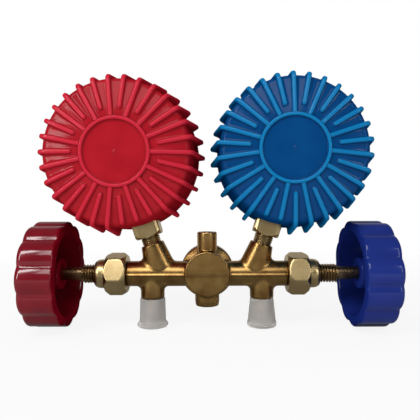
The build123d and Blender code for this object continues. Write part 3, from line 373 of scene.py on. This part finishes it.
# nodes that keep their CAD shape, by their names without the side
KEPT = {
    "bezel": enamel, "case": enamel, "lens": lens_clear, "lens_gasket": black_rubber,
    "dial": dial_paint, "dial_screws": steel, "bourdon_tube": bronze, "link": movement,
    "back_plate": movement, "front_plate": movement, "sector_gear": movement, "pinion": movement,
    "hairspring": bronze, "pointer": black_ink, "packing": ptfe, "packing_washer": turned,
    "seat_plug": turned, "handwheel_screw": steel,
}
dressed = {f"{side}_{node}": material for side in SIDES for node, material in KEPT.items()}
dressed |= {"sight_glass": lens_clear, "sight_glass_gasket": black_rubber, "sight_glass_ring": turned}
for node, material in dressed.items():
    kept = frame["nodes"][node]
    kept.data.materials.clear()
    kept.data.materials.append(material)


# ------------------------------------------------------------------- boots
FINS = 30
LONG_FIN_TURN = {"high": 12.0, "low": 6.0}        # degrees from the top to a long fin
RING_R, RING_WIDTH = 17.2, 1.8
SHORT_START, SHORT_ROUND = 20.8, 1.2               # where a short fin starts, and its rounded end
NARROW_R = 16.4                                    # fins keep their width down to here
BACK, DISC, CORNER_Z = -26.0, -24.8, -22.2
REAR_R, FRONT_R, CORNER = 36.3, 39.5, 3.0
FIN_REAR, FIN_FRONT, FIN_TOP_Z, FIN_CORNER = (37.8, -23.4), (43.1, 5.5), 9.0, 4.2
FRONT, LIP_R, BEZEL_FACE = 14.6, 31.4, 13.25
TIP_R, EDGE_R, LIP_EDGE_R = 1.7, 1.5, 0.7          # rounding of a fin's tip, the front edge and the lip
DOME = 0.18                                        # how far the back bulges
STEM_CLEAR = 16.0                                  # degrees each side of the stem without fins on the wall
# across a fin: distance from its middle, and height over the body, or under the crest where negative
FIN_SECTION = (
    (1.55, None), (1.38, 0.1), (1.24, 0.36), (1.12, -0.62), (0.94, -0.28), (0.55, -0.07), (0.0, 0.0),
)


def boot_rows():
    """Pairs of points on the body and on a fin's crest, from the back's middle to the front."""
    inner = RING_R - RING_WIDTH
    plain = [(0.05, DISC - 0.25), (0.7, DISC - 0.2), (1.0, DISC), (1.06, DISC)]
    plain += line_points((2.0, DISC), (inner - 0.5, DISC), 5)
    plain += [(inner - 0.46, DISC), (inner - 0.4, DISC), (inner - 0.1, DISC - 0.15)]
    plain += [(inner, DISC - 0.5), (inner + 0.1, BACK + 0.25)]
    plain += [(inner + 0.35, BACK + 0.04), (inner + 0.9, BACK - 0.03), (RING_R - 0.4, BACK + 0.02)]
    plain += [(RING_R - 0.12, BACK + 0.2), (RING_R, BACK + 0.6)]
    rows = [(point, point) for point in plain]
    slope = atan2(FIN_REAR[1] - BACK, FIN_REAR[0] - RING_R)
    rise = atan2(FIN_FRONT[1] - FIN_REAR[1], FIN_FRONT[0] - FIN_REAR[0])
    back_off = FIN_CORNER * tan((rise - slope) / 2)
    crest_bend = (FIN_REAR[0] - back_off * cos(slope), FIN_REAR[1] - back_off * sin(slope))
    crest_turn = (FIN_REAR[0] + back_off * cos(rise), FIN_REAR[1] + back_off * sin(rise))
    centre = (crest_bend[0] - FIN_CORNER * sin(slope), crest_bend[1] + FIN_CORNER * cos(slope))
    dome_end = (REAR_R - CORNER, CORNER_Z)
    # closer together where the short fins start
    steps = [0, 0.03, 0.12, 0.2, 0.235, 0.25, 0.265, 0.28, 0.3, 0.34, 0.42, 0.52, 0.62, 0.72, 0.82, 0.92]
    for step in steps:
        swell = DOME * 4 * step * (1 - step)
        body = (RING_R + (dome_end[0] - RING_R) * step, DISC + (dome_end[1] - DISC) * step - swell)
        crest = (RING_R + (crest_bend[0] - RING_R) * step, BACK + (crest_bend[1] - BACK) * step)
        rows.append((body, crest))
    body_arc = arc_points((dome_end[0], dome_end[1] + CORNER), CORNER, -90, 0, 8)
    crest_arc = arc_points(centre, FIN_CORNER, degrees(slope) - 90, degrees(rise) - 90, 8)
    rows += list(zip(body_arc, crest_arc))
    flare = (FRONT_R - REAR_R) / (FRONT - EDGE_R - CORNER_Z - CORNER)
    side_end = (REAR_R + flare * (FIN_FRONT[1] - CORNER_Z - CORNER), FIN_FRONT[1])
    cut_end = (REAR_R + flare * (FIN_TOP_Z - CORNER_Z - CORNER), FIN_TOP_Z)
    body_side = line_points(body_arc[-1], side_end, 12)[1:]
    # the crest turns over a rounded tip and comes down to the body
    fall = degrees(atan2(cut_end[1] - FIN_FRONT[1], cut_end[0] - FIN_FRONT[0]))
    climb = degrees(rise)
    tip_off = TIP_R * tan(radians(fall - climb) / 2)
    tip_start = (FIN_FRONT[0] - tip_off * cos(rise), FIN_FRONT[1] - tip_off * sin(rise))
    tip_centre = (tip_start[0] - TIP_R * sin(rise), tip_start[1] + TIP_R * cos(rise))
    crest_side = line_points(crest_turn, tip_start, 12)[1:]
    rows += list(zip(body_side, crest_side))
    tip = arc_points(tip_centre, TIP_R, climb - 90, fall - 90, 8)
    tip += line_points(tip[-1], cut_end, 5)[1:] + [cut_end]
    for step, crest in enumerate(tip):
        body = tuple(a + (b - a) * step / (len(tip) - 1) for a, b in zip(side_end, cut_end))
        rows.append((body, crest))
    lip = [(FRONT_R, FRONT - EDGE_R - 0.1)]
    lip += arc_points((FRONT_R - EDGE_R, FRONT - EDGE_R), EDGE_R, 0, 90, 6)
    lip += [(LIP_R + 3, FRONT), (LIP_R + LIP_EDGE_R + 0.1, FRONT)]
    lip += arc_points((LIP_R + LIP_EDGE_R, FRONT - LIP_EDGE_R), LIP_EDGE_R, 90, 180, 4)
    lip += [(LIP_R, BEZEL_FACE), (LIP_R + 1.5, BEZEL_FACE)]
    rows += [(point, point) for point in lip]
    return rows


def fin_size(fin, middle, body, crest, full):
    """Height of a fin and share of its width at one ring; a short fin starts with a round end."""
    height, narrow = full, 1.0
    if abs(middle % 360 - 270) < STEM_CLEAR:
        height *= min(1, max(0, (REAR_R - 0.2 - body[0]) / (CORNER - 0.2)))
    if fin % 2 and crest[1] < CORNER_Z and crest[0] < SHORT_START + SHORT_ROUND:
        inside = max(0, (SHORT_START + SHORT_ROUND - crest[0]) / SHORT_ROUND)
        narrow = sqrt(max(0.02, 1 - min(1, inside) ** 2))
        height = full * (0 if inside >= 1 else narrow)
    return height, narrow


def fin_lift(cut, height):
    """How far a point of the fin's section stands off the body."""
    if cut is None or height < 0.01:
        return 0.0
    if cut > 0:
        return min(cut, height * cut / 0.9)
    return max(height + cut, height * 0.5)


def boot_mesh(side):
    """Boot with rounded fins: each ring follows the body between fins and climbs over each fin."""
    rings, crests = [], []
    for body, crest in boot_rows():
        full = sqrt((crest[0] - body[0]) ** 2 + (crest[1] - body[1]) ** 2)
        # the crest share marks fin crests and the whole raised ring, where the rubber paints a painted
        # highlight
        on_ring = 1.0 if RING_R - RING_WIDTH < body[0] < RING_R and body[1] < BACK + 0.5 else 0.0
        foot = asin(FIN_SECTION[0][0] / max(body[0], NARROW_R))
        ring, heights = [], []
        for fin in range(FINS):
            middle = 90 + LONG_FIN_TURN[side] + 360 / FINS * fin
            height, narrow = fin_size(fin, middle, body, crest, full)
            for mirror in (-1, 1):
                for away, cut in FIN_SECTION if mirror < 0 else FIN_SECTION[-2::-1]:
                    share = fin_lift(cut, height) / full if full > 0.01 else 0.0
                    radius = body[0] + (crest[0] - body[0]) * share
                    z = body[1] + (crest[1] - body[1]) * share
                    away_here = away * (narrow if cut is not None else 1.0)
                    angle = radians(middle) + mirror * asin(away_here / max(radius, NARROW_R))
                    ring.append((radius * cos(angle), radius * sin(angle), z))
                    heights.append(max(on_ring, share))
            for part in (1 / 3, 2 / 3):
                angle = radians(middle) + foot + (radians(360 / FINS) - 2 * foot) * part
                ring.append((body[0] * cos(angle), body[0] * sin(angle), body[1]))
                heights.append(on_ring)
        rings.append(ring)
        crests.append(heights)
    return skin(f"{side}_boot_skin", rings, close_start=True, crease=55, crests=crests)


piece("red_boot", boot_mesh("high"), gauge_place("high"), "manifold", red_rubber, "red_rubber", "high_boot")
piece("blue_boot", boot_mesh("low"), gauge_place("low"), "manifold", blue_rubber, "blue_rubber", "low_boot")

# -------------------------------------------------------------- handwheels
WHEEL_R, LOBE_R, LOBES = 28.0, 10.0, 12
WHEEL_DEPTH, WHEEL_FLOOR, HUB_R, HUB_RECESS = 18.2, 3.2, 8.15, 4.0
CAVITY_R, POCKET_R, POCKET_DEPTH = 22.5, 10.0, 1.2
SCREW_HOLE_R, RIM_EDGE_R, VALLEY_SOFT = 2.7, 2.4, 0.55
WHEEL_TURN = {"high": 2.0, "low": 10.0}            # degrees, as the photo shows them


def lobed_radius(angle, turn):
    """Reach of the scalloped rim at an angle, with softened valleys."""
    pitch = 2 * pi / LOBES
    off = (angle - turn + pitch / 2) % pitch - pitch / 2
    centre = WHEEL_R - LOBE_R
    reach = centre * cos(off) + sqrt(LOBE_R ** 2 - (centre * sin(off)) ** 2)
    next_off = pitch - abs(off)
    beside = centre * cos(next_off) + sqrt(max(0, LOBE_R ** 2 - (centre * sin(next_off)) ** 2))
    blend = max(0, 1 - (reach - beside) / VALLEY_SOFT)
    return reach + VALLEY_SOFT * blend ** 2 / 4


def wheel_mesh(side):
    """Scalloped handwheel, from the hub's hole over the inside and the rim to the outer face."""
    turn = radians(-SIDES[side] * WHEEL_TURN[side])
    floor, hub = WHEEL_DEPTH - WHEEL_FLOOR, HUB_RECESS
    # height, radius or distance inside the scalloped rim, and which of the two it is
    rows = [
        (hub, SCREW_HOLE_R, 0), (hub, HUB_R - 0.5, 0), (hub + 0.15, HUB_R - 0.15, 0), (hub + 0.5, HUB_R, 0),
        (floor - 0.8, HUB_R + 0.1, 0), (floor - 0.2, HUB_R + 0.35, 0), (floor, HUB_R + 0.9, 0),
        (floor, CAVITY_R - 1.9, 0), (floor - 0.25, CAVITY_R - 1.2, 0), (floor - 0.9, CAVITY_R - 0.85, 0),
        (floor / 2, CAVITY_R - 0.4, 0), (0.9, CAVITY_R, 0), (0.3, CAVITY_R + 0.12, 0), (0, CAVITY_R + 0.5, 0),
        (0, -1.3, 1), (0.1, -0.75, 1), (0.4, -0.3, 1), (0.9, -0.06, 1), (1.6, 0, 1),
        (WHEEL_DEPTH / 2, 0, 1), (WHEEL_DEPTH - RIM_EDGE_R - 0.2, 0, 1),
    ]
    rows += [
        (WHEEL_DEPTH - RIM_EDGE_R * (1 - sin(radians(a))), -RIM_EDGE_R * (1 - cos(radians(a))), 1)
        for a in range(12, 91, 13)
    ]
    rows += [
        (WHEEL_DEPTH, -3.2, 1), (WHEEL_DEPTH, WHEEL_R - 8.6, 0), (WHEEL_DEPTH, POCKET_R + 0.6, 0),
        (WHEEL_DEPTH - 0.15, POCKET_R + 0.15, 0), (WHEEL_DEPTH - POCKET_DEPTH + 0.3, POCKET_R - 0.1, 0),
        (WHEEL_DEPTH - POCKET_DEPTH, POCKET_R - 0.5, 0), (WHEEL_DEPTH - POCKET_DEPTH, SCREW_HOLE_R, 0),
    ]
    count = LOBES * 20
    rings = []
    for height, radius, lobed in rows:
        ring = []
        for k in range(count):
            angle = 2 * pi * k / count
            reach = lobed_radius(angle, turn) + radius if lobed else radius
            ring.append((reach * cos(angle), reach * sin(angle), height))
        rings.append(ring)
    return skin(f"{side}_wheel_skin", rings)


def along(side, node):
    """Distances from the manifold's middle to a node's near and far end."""
    low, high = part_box(f"{side}_{node}")
    ends = sorted(abs(value) / MM for value in (low.x, high.x))
    return ends[0], ends[1]


for side, material, slot in (("high", red_plastic, "red_plastic"), ("low", navy_plastic, "navy_plastic")):
    rim = along(side, "handwheel")[0]
    piece(
        f"{side}_wheel", wheel_mesh(side), valve_place(side, rim), f"{side}_valve",
        material, slot, f"{side}_handwheel",
    )

# ---------------------------------------------------- stems and bonnets
THREAD_R, THREAD_LENGTH, THREAD_PITCH, THREAD_DEPTH = 4.95, 13.7, 1.5, 0.85
SHANK_R, TANG_R, TANG_LENGTH = 3.5, 2.5, 12
THREAD_FROM_START = 27.15          # from the stem's inner end to the thread
HEX_HALF, HEX_LENGTH, HEX_TURN = 10.0, 11.2, 19.0
COLLAR_R, COLLAR_LENGTH, NOSE_R = 7.65, 2.2, 5.8


def flats(count, half, soft, turn):
    """Outline that limits a ring to a polygon with softened corners."""
    def limited(angle, radius):
        step = 2 * pi / count
        off = (angle - turn + step / 2) % step - step / 2
        side_reach = half / cos(off)
        corner = half / cos(pi / count) - soft
        return min(radius, side_reach if side_reach < corner else corner + (side_reach - corner) * 0.35)
    return limited


for side, sign in SIDES.items():
    inner, outer = along(side, "valve_stem")
    start = inner + THREAD_FROM_START
    end = start + THREAD_LENGTH
    profile = [(inner, 2.2), (inner, 3.3), (inner + 0.6, SHANK_R), (start, SHANK_R), (start, THREAD_R - 0.6)]
    profile += thread_profile(start, end - 0.7, THREAD_R, THREAD_PITCH, THREAD_DEPTH)
    profile += [(end - 0.4, THREAD_R - 0.6), (end, SHANK_R + 0.3), (end + 0.1, SHANK_R)]
    profile += [(outer - TANG_LENGTH, SHANK_R), (outer - TANG_LENGTH, TANG_R), (outer, TANG_R)]
    mesh = lathe(f"{side}_stem_skin", profile, 64)
    piece(
        f"{side}_stem", mesh, valve_place(side, 0), f"{side}_valve",
        stem_brass, "turned_brass", f"{side}_valve_stem",
    )

    arm_end, nose = along(side, "bonnet")
    hex_end = arm_end + HEX_LENGTH
    collar_end = hex_end + COLLAR_LENGTH
    outline = flats(6, HEX_HALF, 0.12, radians(-sign * HEX_TURN))
    profile = [(arm_end, 6.1), (arm_end, HEX_HALF - 0.35)]
    profile += line_points((arm_end + 0.15, HEX_HALF - 0.2), (arm_end + 2.6, 11.6), 8)
    profile += line_points((arm_end + 3, 12), (hex_end - 3, 12), 3)
    profile += line_points((hex_end - 2.6, 11.6), (hex_end - 0.15, HEX_HALF - 0.2), 8)
    profile += [(hex_end - 0.12, HEX_HALF - 0.2), (hex_end, HEX_HALF - 0.45)]
    profile += [(hex_end, COLLAR_R + 0.5), (hex_end + 0.2, COLLAR_R + 0.1), (hex_end + 0.5, COLLAR_R)]
    profile += [(collar_end - 0.6, COLLAR_R)]
    for k in range(9):
        swing = radians(8 + 62 * k / 8)
        profile.append((collar_end + (nose - collar_end) * sin(swing) / sin(radians(70)) * 0.96,
                        NOSE_R + (COLLAR_R - NOSE_R) * cos(swing)))
    profile += [(nose - 0.05, NOSE_R), (nose, NOSE_R - 0.25)]
    profile += [(nose, THREAD_R + 0.15), (nose - 4, THREAD_R + 0.1)]
    mesh = lathe(f"{side}_bonnet_skin", profile, 192, outline)
    piece(
        f"{side}_hex_bonnet", mesh, valve_place(side, 0), "manifold",
        turned, "turned_brass", f"{side}_bonnet",
    )

# --------------------------------------------------------- gauge sockets
SQUARE_END, SQUARE_HALF, CASE_R, CASE_GAP = 44.6, 7.0, 33.0, 1.2
NPT_R, NPT_LENGTH, NPT_PITCH, NPT_DEPTH, NPT_TAPER = 5.1, 13.2, 0.94, 0.28, 1 / 32
for side in SIDES:
    square = flats(4, SQUARE_HALF, 1.3, 0)
    top = SQUARE_END - CASE_R - CASE_GAP
    upright = gauge_place(side) @ Matrix.Translation((0, -SQUARE_END, 0)) @ Matrix.Rotation(-pi / 2, 4, "X")
    profile = [(0, 4.2), (0, SQUARE_HALF - 0.25)]
    profile += line_points((0.1, SQUARE_HALF), (2.2, 9.6), 6)
    profile += [(2.6, 10), (top - 0.3, 10), (top, 9.4), (top, 3)]
    body_mesh = lathe(f"{side}_square_skin", profile, 160, square)
    threads = [(-NPT_LENGTH, 1.7), (-NPT_LENGTH, 4.0)]
    straight = thread_profile(-NPT_LENGTH + 0.2, -0.6, NPT_R, NPT_PITCH, NPT_DEPTH)
    threads += [(height, radius + height * NPT_TAPER, *rest) for height, radius, *rest in straight]
    threads += [(-0.3, NPT_R - 0.5), (0, NPT_R - 0.5)]
    thread_mesh = lathe(f"{side}_npt_skin", threads, 64)
    joined = bmesh.new()
    joined.from_mesh(frame["nodes"][f"{side}_socket"].data)
    joined.transform(upright.inverted())
    # the block inside the case stays as it is in CAD
    bmesh.ops.bisect_plane(
        joined, geom=joined.verts[:] + joined.edges[:] + joined.faces[:],
        plane_co=(0, 0, top), plane_no=(0, 0, 1), clear_inner=True,
    )
    joined.from_mesh(body_mesh)
    joined.from_mesh(thread_mesh)
    joined.to_mesh(body_mesh)
    joined.free()
    piece(f"{side}_gauge_stem", body_mesh, upright, "manifold", turned, "turned_brass", f"{side}_socket")

# ---------------------------------------------------------------- caps
CAP_RADII = {"high": (6.65, 6.95, 8.15), "low": (6.25, 7.35, 7.75)}       # top, base and brim
for side, (top_r, base_r, brim_r) in CAP_RADII.items():
    low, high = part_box(f"{side}_port_cap")
    length = (high.z - low.z) / MM
    middle_x = (low.x + high.x) / 2 / MM
    profile = [(length - 1.2, 0.02), (length - 1.2, 5.3), (length - 1.5, 5.6), (1.0, 5.62)]
    profile += [(0.15, 5.7), (0.0, top_r - 0.35), (0.12, top_r - 0.08), (0.4, top_r)]
    profile += line_points((1.0, top_r + 0.02), (length - 3.6, base_r), 6)
    profile += [(length - 3.6, base_r), (length - 2.9, base_r + 0.12), (length - 2.3, base_r + 0.45)]
    profile += [(length - 1.9, brim_r - 0.25), (length - 1.6, brim_r - 0.05), (length - 1.2, brim_r)]
    profile += [(length - 0.7, brim_r - 0.03), (length - 0.25, brim_r - 0.3), (length - 0.03, brim_r - 0.9)]
    profile += [(length, brim_r - 1.6), (length, 0.02)]
    mesh = lathe(f"{side}_cap_skin", profile, 96)
    piece(
        f"{side}_dust_cap", mesh, down_place(middle_x, high.z / MM), f"{side}_cap",
        cap_milky, "frosted_plastic", f"{side}_port_cap",
    )

# ------------------------------------------------------------ forged body
VOXEL = 0.28
PORT_R, PORT_TOP, PORT_LENGTH, PORT_PITCH, PORT_DEPTH = 5.55, 12.6, 11.2, 1.27, 0.62
PORT_WALL = (4.2, 6.2)                             # radii between which the port's outside is found
FLASH_HALF, FLASH_HEIGHT, FLASH_END = 0.8, 0.13, 41.0


def forged_skin():
    """Copy of the body's mesh, remade in even small faces and softened like a forging."""
    source = frame["nodes"]["manifold_body"]
    work = bmesh.new()
    work.from_mesh(source.data)
    bmesh.ops.remove_doubles(work, verts=work.verts, dist=0.002 * MM)
    data = bpy.data.meshes.new("forged_work")
    work.to_mesh(data)
    work.free()
    holder = bpy.data.objects.new("forged_work", data)
    bpy.context.scene.collection.objects.link(holder)
    remesh = holder.modifiers.new("even", "REMESH")
    remesh.mode = "VOXEL"
    remesh.voxel_size = VOXEL * MM
    soften = holder.modifiers.new("soften", "SMOOTH")
    soften.factor = 0.5
    soften.iterations = 20
    ready = bpy.data.meshes.new_from_object(holder.evaluated_get(bpy.context.evaluated_depsgraph_get()))
    bpy.data.objects.remove(holder)
    port_x = abs(sum(v.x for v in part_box("low_port_cap"))) / 2 / MM
    for vertex in ready.vertices:
        x, y, z = (value / MM for value in vertex.co)
        drop = AXIS_Z - z
        if PORT_TOP + 0.6 < drop < PORT_TOP + PORT_LENGTH - 0.2:
            across = abs(x) - port_x
            radius = sqrt(across ** 2 + y ** 2)
            if PORT_WALL[0] < radius < PORT_WALL[1]:
                cut = thread_cut(atan2(y, across), drop, PORT_PITCH, PORT_DEPTH, 2.4, 0.1)
                scale = (PORT_R - cut) / radius
                vertex.co.x = (port_x + across * scale) * MM * (1 if x > 0 else -1)
                vertex.co.y = y * scale * MM
        rise = 1 - abs(drop) / FLASH_HALF
        if rise > 0 and abs(x) < FLASH_END:
            vertex.co.y += FLASH_HEIGHT * rise * MM * (1 if y > 0 else -1)
    for face in ready.polygons:
        face.use_smooth = True
    ready.materials.clear()
    return ready


piece("forged_body", forged_skin(), Matrix.Identity(4), "manifold", forged, "forged_brass", "manifold_body")

# ---------------------------------------------------------------- dials
DIAL_FACE, PRINT_HEIGHT = 7.0, 0.06
TICK_R, NUMBER_R, NUMBER_SIZE, VACUUM_SIZE = 28.6, 20.2, 4.6, 4.0
ZERO, VACUUM_SWEEP = 225.0, 34                     # degrees
# length and width of the lines
MAJOR, HALF, MINOR, VACUUM_MAJOR, VACUUM_MINOR = (4.2, 0.55), (3.0, 0.35), (1.8, 0.22), (4.2, 0.4), (2.4, 0.4)
SCALES = {
    "high": {"degrees_per_unit": 270 / 500, "labels": (0, 100, 200, 300, 400, 500), "minor": 10, "top": 500},
    "low": {"degrees_per_unit": 236 / 250, "labels": (0, 50, 100, 150, 200, 250), "minor": 5, "top": 250},
}


def tick(mesh, angle, inner, outer, width):
    """Printed line on the dial, a thin bar along a radius."""
    along_r = Vector((cos(angle), sin(angle), 0))
    across = Vector((-sin(angle), cos(angle), 0)) * width / 2
    near, far = along_r * inner, along_r * outer
    base = [near - across, far - across, far + across, near + across]
    low = [mesh.verts.new(point + Vector((0, 0, DIAL_FACE))) for point in base]
    top = [mesh.verts.new(point + Vector((0, 0, DIAL_FACE + PRINT_HEIGHT))) for point in base]
    mesh.faces.new(top)
    mesh.faces.new(low[::-1])
    for k in range(4):
        mesh.faces.new((low[k], low[(k + 1) % 4], top[(k + 1) % 4], top[k]))


def band(mesh, start, end, inner, outer, steps):
    """Printed coloured arc between two radii."""
    for k in range(steps):
        first, second = (start + (end - start) * j / steps for j in (k, k + 1))
        corners = [(inner, first), (outer, first), (outer, second), (inner, second)]
        mesh.faces.new([
            mesh.verts.new((r * cos(a), r * sin(a), DIAL_FACE + PRINT_HEIGHT)) for r, a in corners
        ])


def finished(name, mesh):
    """Mesh data from a bmesh."""
    data = bpy.data.meshes.new(name)
    mesh.to_mesh(data)
    mesh.free()
    return data


def number_mesh(text, x, y, size):
    """Printed number centred on a place, as a mesh."""
    curve = bpy.data.curves.new("number", "FONT")
    curve.body = text
    curve.size = size
    curve.align_x = "CENTER"
    curve.align_y = "CENTER"
    curve.extrude = PRINT_HEIGHT / 2
    holder = bpy.data.objects.new("number", curve)
    bpy.context.scene.collection.objects.link(holder)
    bpy.context.view_layer.update()
    data = bpy.data.meshes.new_from_object(holder.evaluated_get(bpy.context.evaluated_depsgraph_get()))
    bpy.data.objects.remove(holder)
    data.transform(Matrix.Translation((x, y, DIAL_FACE + PRINT_HEIGHT / 2)))
    return data


for side, scale in SCALES.items():
    black, colour = bmesh.new(), bmesh.new()
    count = scale["top"] // scale["minor"]
    for step in range(count + 1):
        value = step * scale["minor"]
        angle = radians(ZERO - value * scale["degrees_per_unit"])
        major, half = value in scale["labels"], value % (scale["labels"][1] // 2) == 0
        length, width = MAJOR if major else HALF if half else MINOR
        tick(black, angle, TICK_R - length, TICK_R, width)
    for value in scale["labels"]:
        angle = radians(ZERO - value * scale["degrees_per_unit"])
        numeral = number_mesh(str(value), NUMBER_R * cos(angle), NUMBER_R * sin(angle), NUMBER_SIZE)
        black.from_mesh(numeral)
    lowest = ZERO + (VACUUM_SWEEP if side == "low" else 0)
    highest = ZERO - scale["top"] * scale["degrees_per_unit"]
    band(colour, radians(lowest), radians(highest), TICK_R + 0.3, TICK_R + 1.1, 96)
    if side == "low":
        for step in range(7):
            angle = radians(ZERO + VACUUM_SWEEP * step / 6)
            length, width = VACUUM_MAJOR if step % 3 == 0 else VACUUM_MINOR
            tick(colour, angle, TICK_R - length, TICK_R, width)
        angle = radians(ZERO + VACUUM_SWEEP)
        vacuum = number_mesh("30", NUMBER_R * cos(angle), NUMBER_R * sin(angle), VACUUM_SIZE)
        colour.from_mesh(vacuum)
    ink = red_ink if side == "high" else blue_ink
    place = gauge_place(side)
    for part, mesh, printed in (("scale", black, black_ink), ("colour", colour, ink)):
        data = finished(f"{side}_{part}", mesh)
        piece(f"{side}_dial_{part}", data, place, "manifold", printed, "pointer_black")

# -------------------------------------------------- floor, light, camera
FLOOR_Z, FLOOR_HALF = -0.0520, 3                   # metres
CORNERS = ((-1, -1), (1, -1), (1, 1), (-1, 1))
SHADOW_NEAR, SHADOW_SPAN = 0.88, (0.12, 0.45)      # white under the object, and metres over which it fades
# how bright the floor glows in metal and glass near the object and far off, the near value a painted shadow,
# and metres between
FLOOR_MIRROR_NEAR, FLOOR_MIRROR, MIRROR_SPAN = 0.14, 0.55, (0.05, 0.25)
BACKDROP_MIRROR, ROOM_LEVEL, SKY_LEVEL = 0.50, 0.12, 0.24


def paper():
    """White paper that keeps a faint shadow near the object and is plain white beyond it."""
    made, tree, shader, places = nodes_of("paper")
    grain = noise(tree, places, 0.05, 4.0)
    tone = ramp(tree, grain, ((0.3, (0.93, 0.93, 0.93)), (0.7, (0.95, 0.95, 0.95))))
    tree.links.new(tone, shader.inputs["Base Color"])
    shader.inputs["Roughness"].default_value = 0.9
    shader.inputs["Specular IOR Level"].default_value = 0.0
    glow = tree.nodes.new("ShaderNodeEmission")
    rays = tree.nodes.new("ShaderNodeLightPath")
    away = tree.nodes.new("ShaderNodeVectorMath")
    away.operation = "LENGTH"
    tree.links.new(places.outputs["Object"], away.inputs[0])
    seen = range_of(tree, away.outputs["Value"], SHADOW_NEAR, 1.0, *SHADOW_SPAN)
    camera_part = math_of(tree, "MULTIPLY", rays.outputs["Is Camera Ray"], seen)
    plain = math_of(tree, "MAXIMUM", rays.outputs["Is Glossy Ray"], rays.outputs["Is Transmission Ray"])
    # painted shadow: in metal and glass the floor's glow is dimmed close under the object
    shade = range_of(tree, away.outputs["Value"], 1.0 - FLOOR_MIRROR_NEAR, 1.0 - FLOOR_MIRROR, *MIRROR_SPAN)
    dimmed = math_of(tree, "MULTIPLY", rays.outputs["Is Glossy Ray"], shade)
    tree.links.new(math_of(tree, "SUBTRACT", 1.0, dimmed), glow.inputs["Strength"])
    mix = tree.nodes.new("ShaderNodeMixShader")
    tree.links.new(math_of(tree, "MAXIMUM", camera_part, plain), mix.inputs["Fac"])
    tree.links.new(shader.outputs["BSDF"], mix.inputs[1])
    tree.links.new(glow.outputs["Emission"], mix.inputs[2])
    tree.links.new(mix.outputs["Shader"], tree.nodes["Material Output"].inputs["Surface"])
    return made


floor_mesh = bmesh.new()
corners = [floor_mesh.verts.new((x * FLOOR_HALF, y * FLOOR_HALF, FLOOR_Z)) for x, y in CORNERS]
floor_mesh.faces.new(corners)
floor = bpy.data.objects.new("floor", finished("floor", floor_mesh))
bpy.context.scene.collection.objects.link(floor)
floor.data.materials.append(paper())

world = bpy.data.worlds.new("studio")
bpy.context.scene.world = world
world.use_nodes = True
sky = world.node_tree

# the white backdrop ahead of the camera shows in metal and glass, and the dimmer room behind it
paths = sky.nodes.new("ShaderNodeLightPath")
direction = sky.nodes.new("ShaderNodeNewGeometry")
split = sky.nodes.new("ShaderNodeSeparateXYZ")
sky.links.new(direction.outputs["Incoming"], split.inputs["Vector"])
ahead = range_of(sky, split.outputs["Y"], BACKDROP_MIRROR, ROOM_LEVEL, -0.9, -0.4)
seen = math_of(sky, "MAXIMUM", paths.outputs["Is Camera Ray"], paths.outputs["Is Transmission Ray"])
level = math_of(sky, "MAXIMUM", seen, math_of(sky, "MULTIPLY", paths.outputs["Is Glossy Ray"], ahead))
diffuse = math_of(sky, "MULTIPLY", paths.outputs["Is Diffuse Ray"], SKY_LEVEL)
level = math_of(sky, "MAXIMUM", level, diffuse)
sky.links.new(level, sky.nodes["Background"].inputs["Strength"])
sky.nodes["Background"].inputs["Color"].default_value = (1, 1, 1, 1)


LAMP_TARGET = Vector((0, 0, 0.01))


def lamp(name, place, size, power, mirrored=True):
    """Soft lamp aimed at the object, which may leave the metal's reflections alone."""
    data = bpy.data.lights.new(name, "AREA")
    data.shape = "RECTANGLE"
    data.size, data.size_y = size
    data.energy = power
    made = bpy.data.objects.new(name, data)
    bpy.context.scene.collection.objects.link(made)
    made.visible_glossy = mirrored
    made.location = place
    made.rotation_euler = (LAMP_TARGET - Vector(place)).to_track_quat("-Z", "Y").to_euler()


lamp("window", (-0.50, -0.54, 0.36), (0.09, 0.70), 2.4)
lamp("above", (-0.10, -0.57, 0.54), (0.50, 0.34), 2.0)
lamp("spark", (-0.25, -0.50, 0.62), (0.05, 0.05), 0.3)
lamp("side", (0.48, -0.52, 0.22), (0.08, 0.40), 0.6)
lamp("top", (0.02, 0.12, 0.80), (0.40, 0.40), 0.5, False)

CAMERA_PLACE = (2.06, -229.92, 14.6)      # millimetres
CAMERA_TURN = (-0.735, -0.103, 0.20)      # degrees up, right and clockwise
FOCAL_PIXELS, PICTURE_PIXELS = 429.5, 420
camera = bpy.data.objects.new("camera", bpy.data.cameras.new("camera"))
bpy.context.scene.collection.objects.link(camera)
camera.data.sensor_width = 36.0
camera.data.lens = FOCAL_PIXELS / PICTURE_PIXELS * camera.data.sensor_width
camera.data.clip_start = 0.01
pitch, yaw, roll = (radians(value) for value in CAMERA_TURN)
camera.matrix_world = (
    Matrix.Translation([value * MM for value in CAMERA_PLACE])
    @ Matrix.Rotation(-yaw, 4, "Z") @ Matrix.Rotation(pi / 2 + pitch, 4, "X") @ Matrix.Rotation(-roll, 4, "Z")
)
bpy.context.scene.camera = camera
bpy.context.scene.view_settings.view_transform = "Standard"
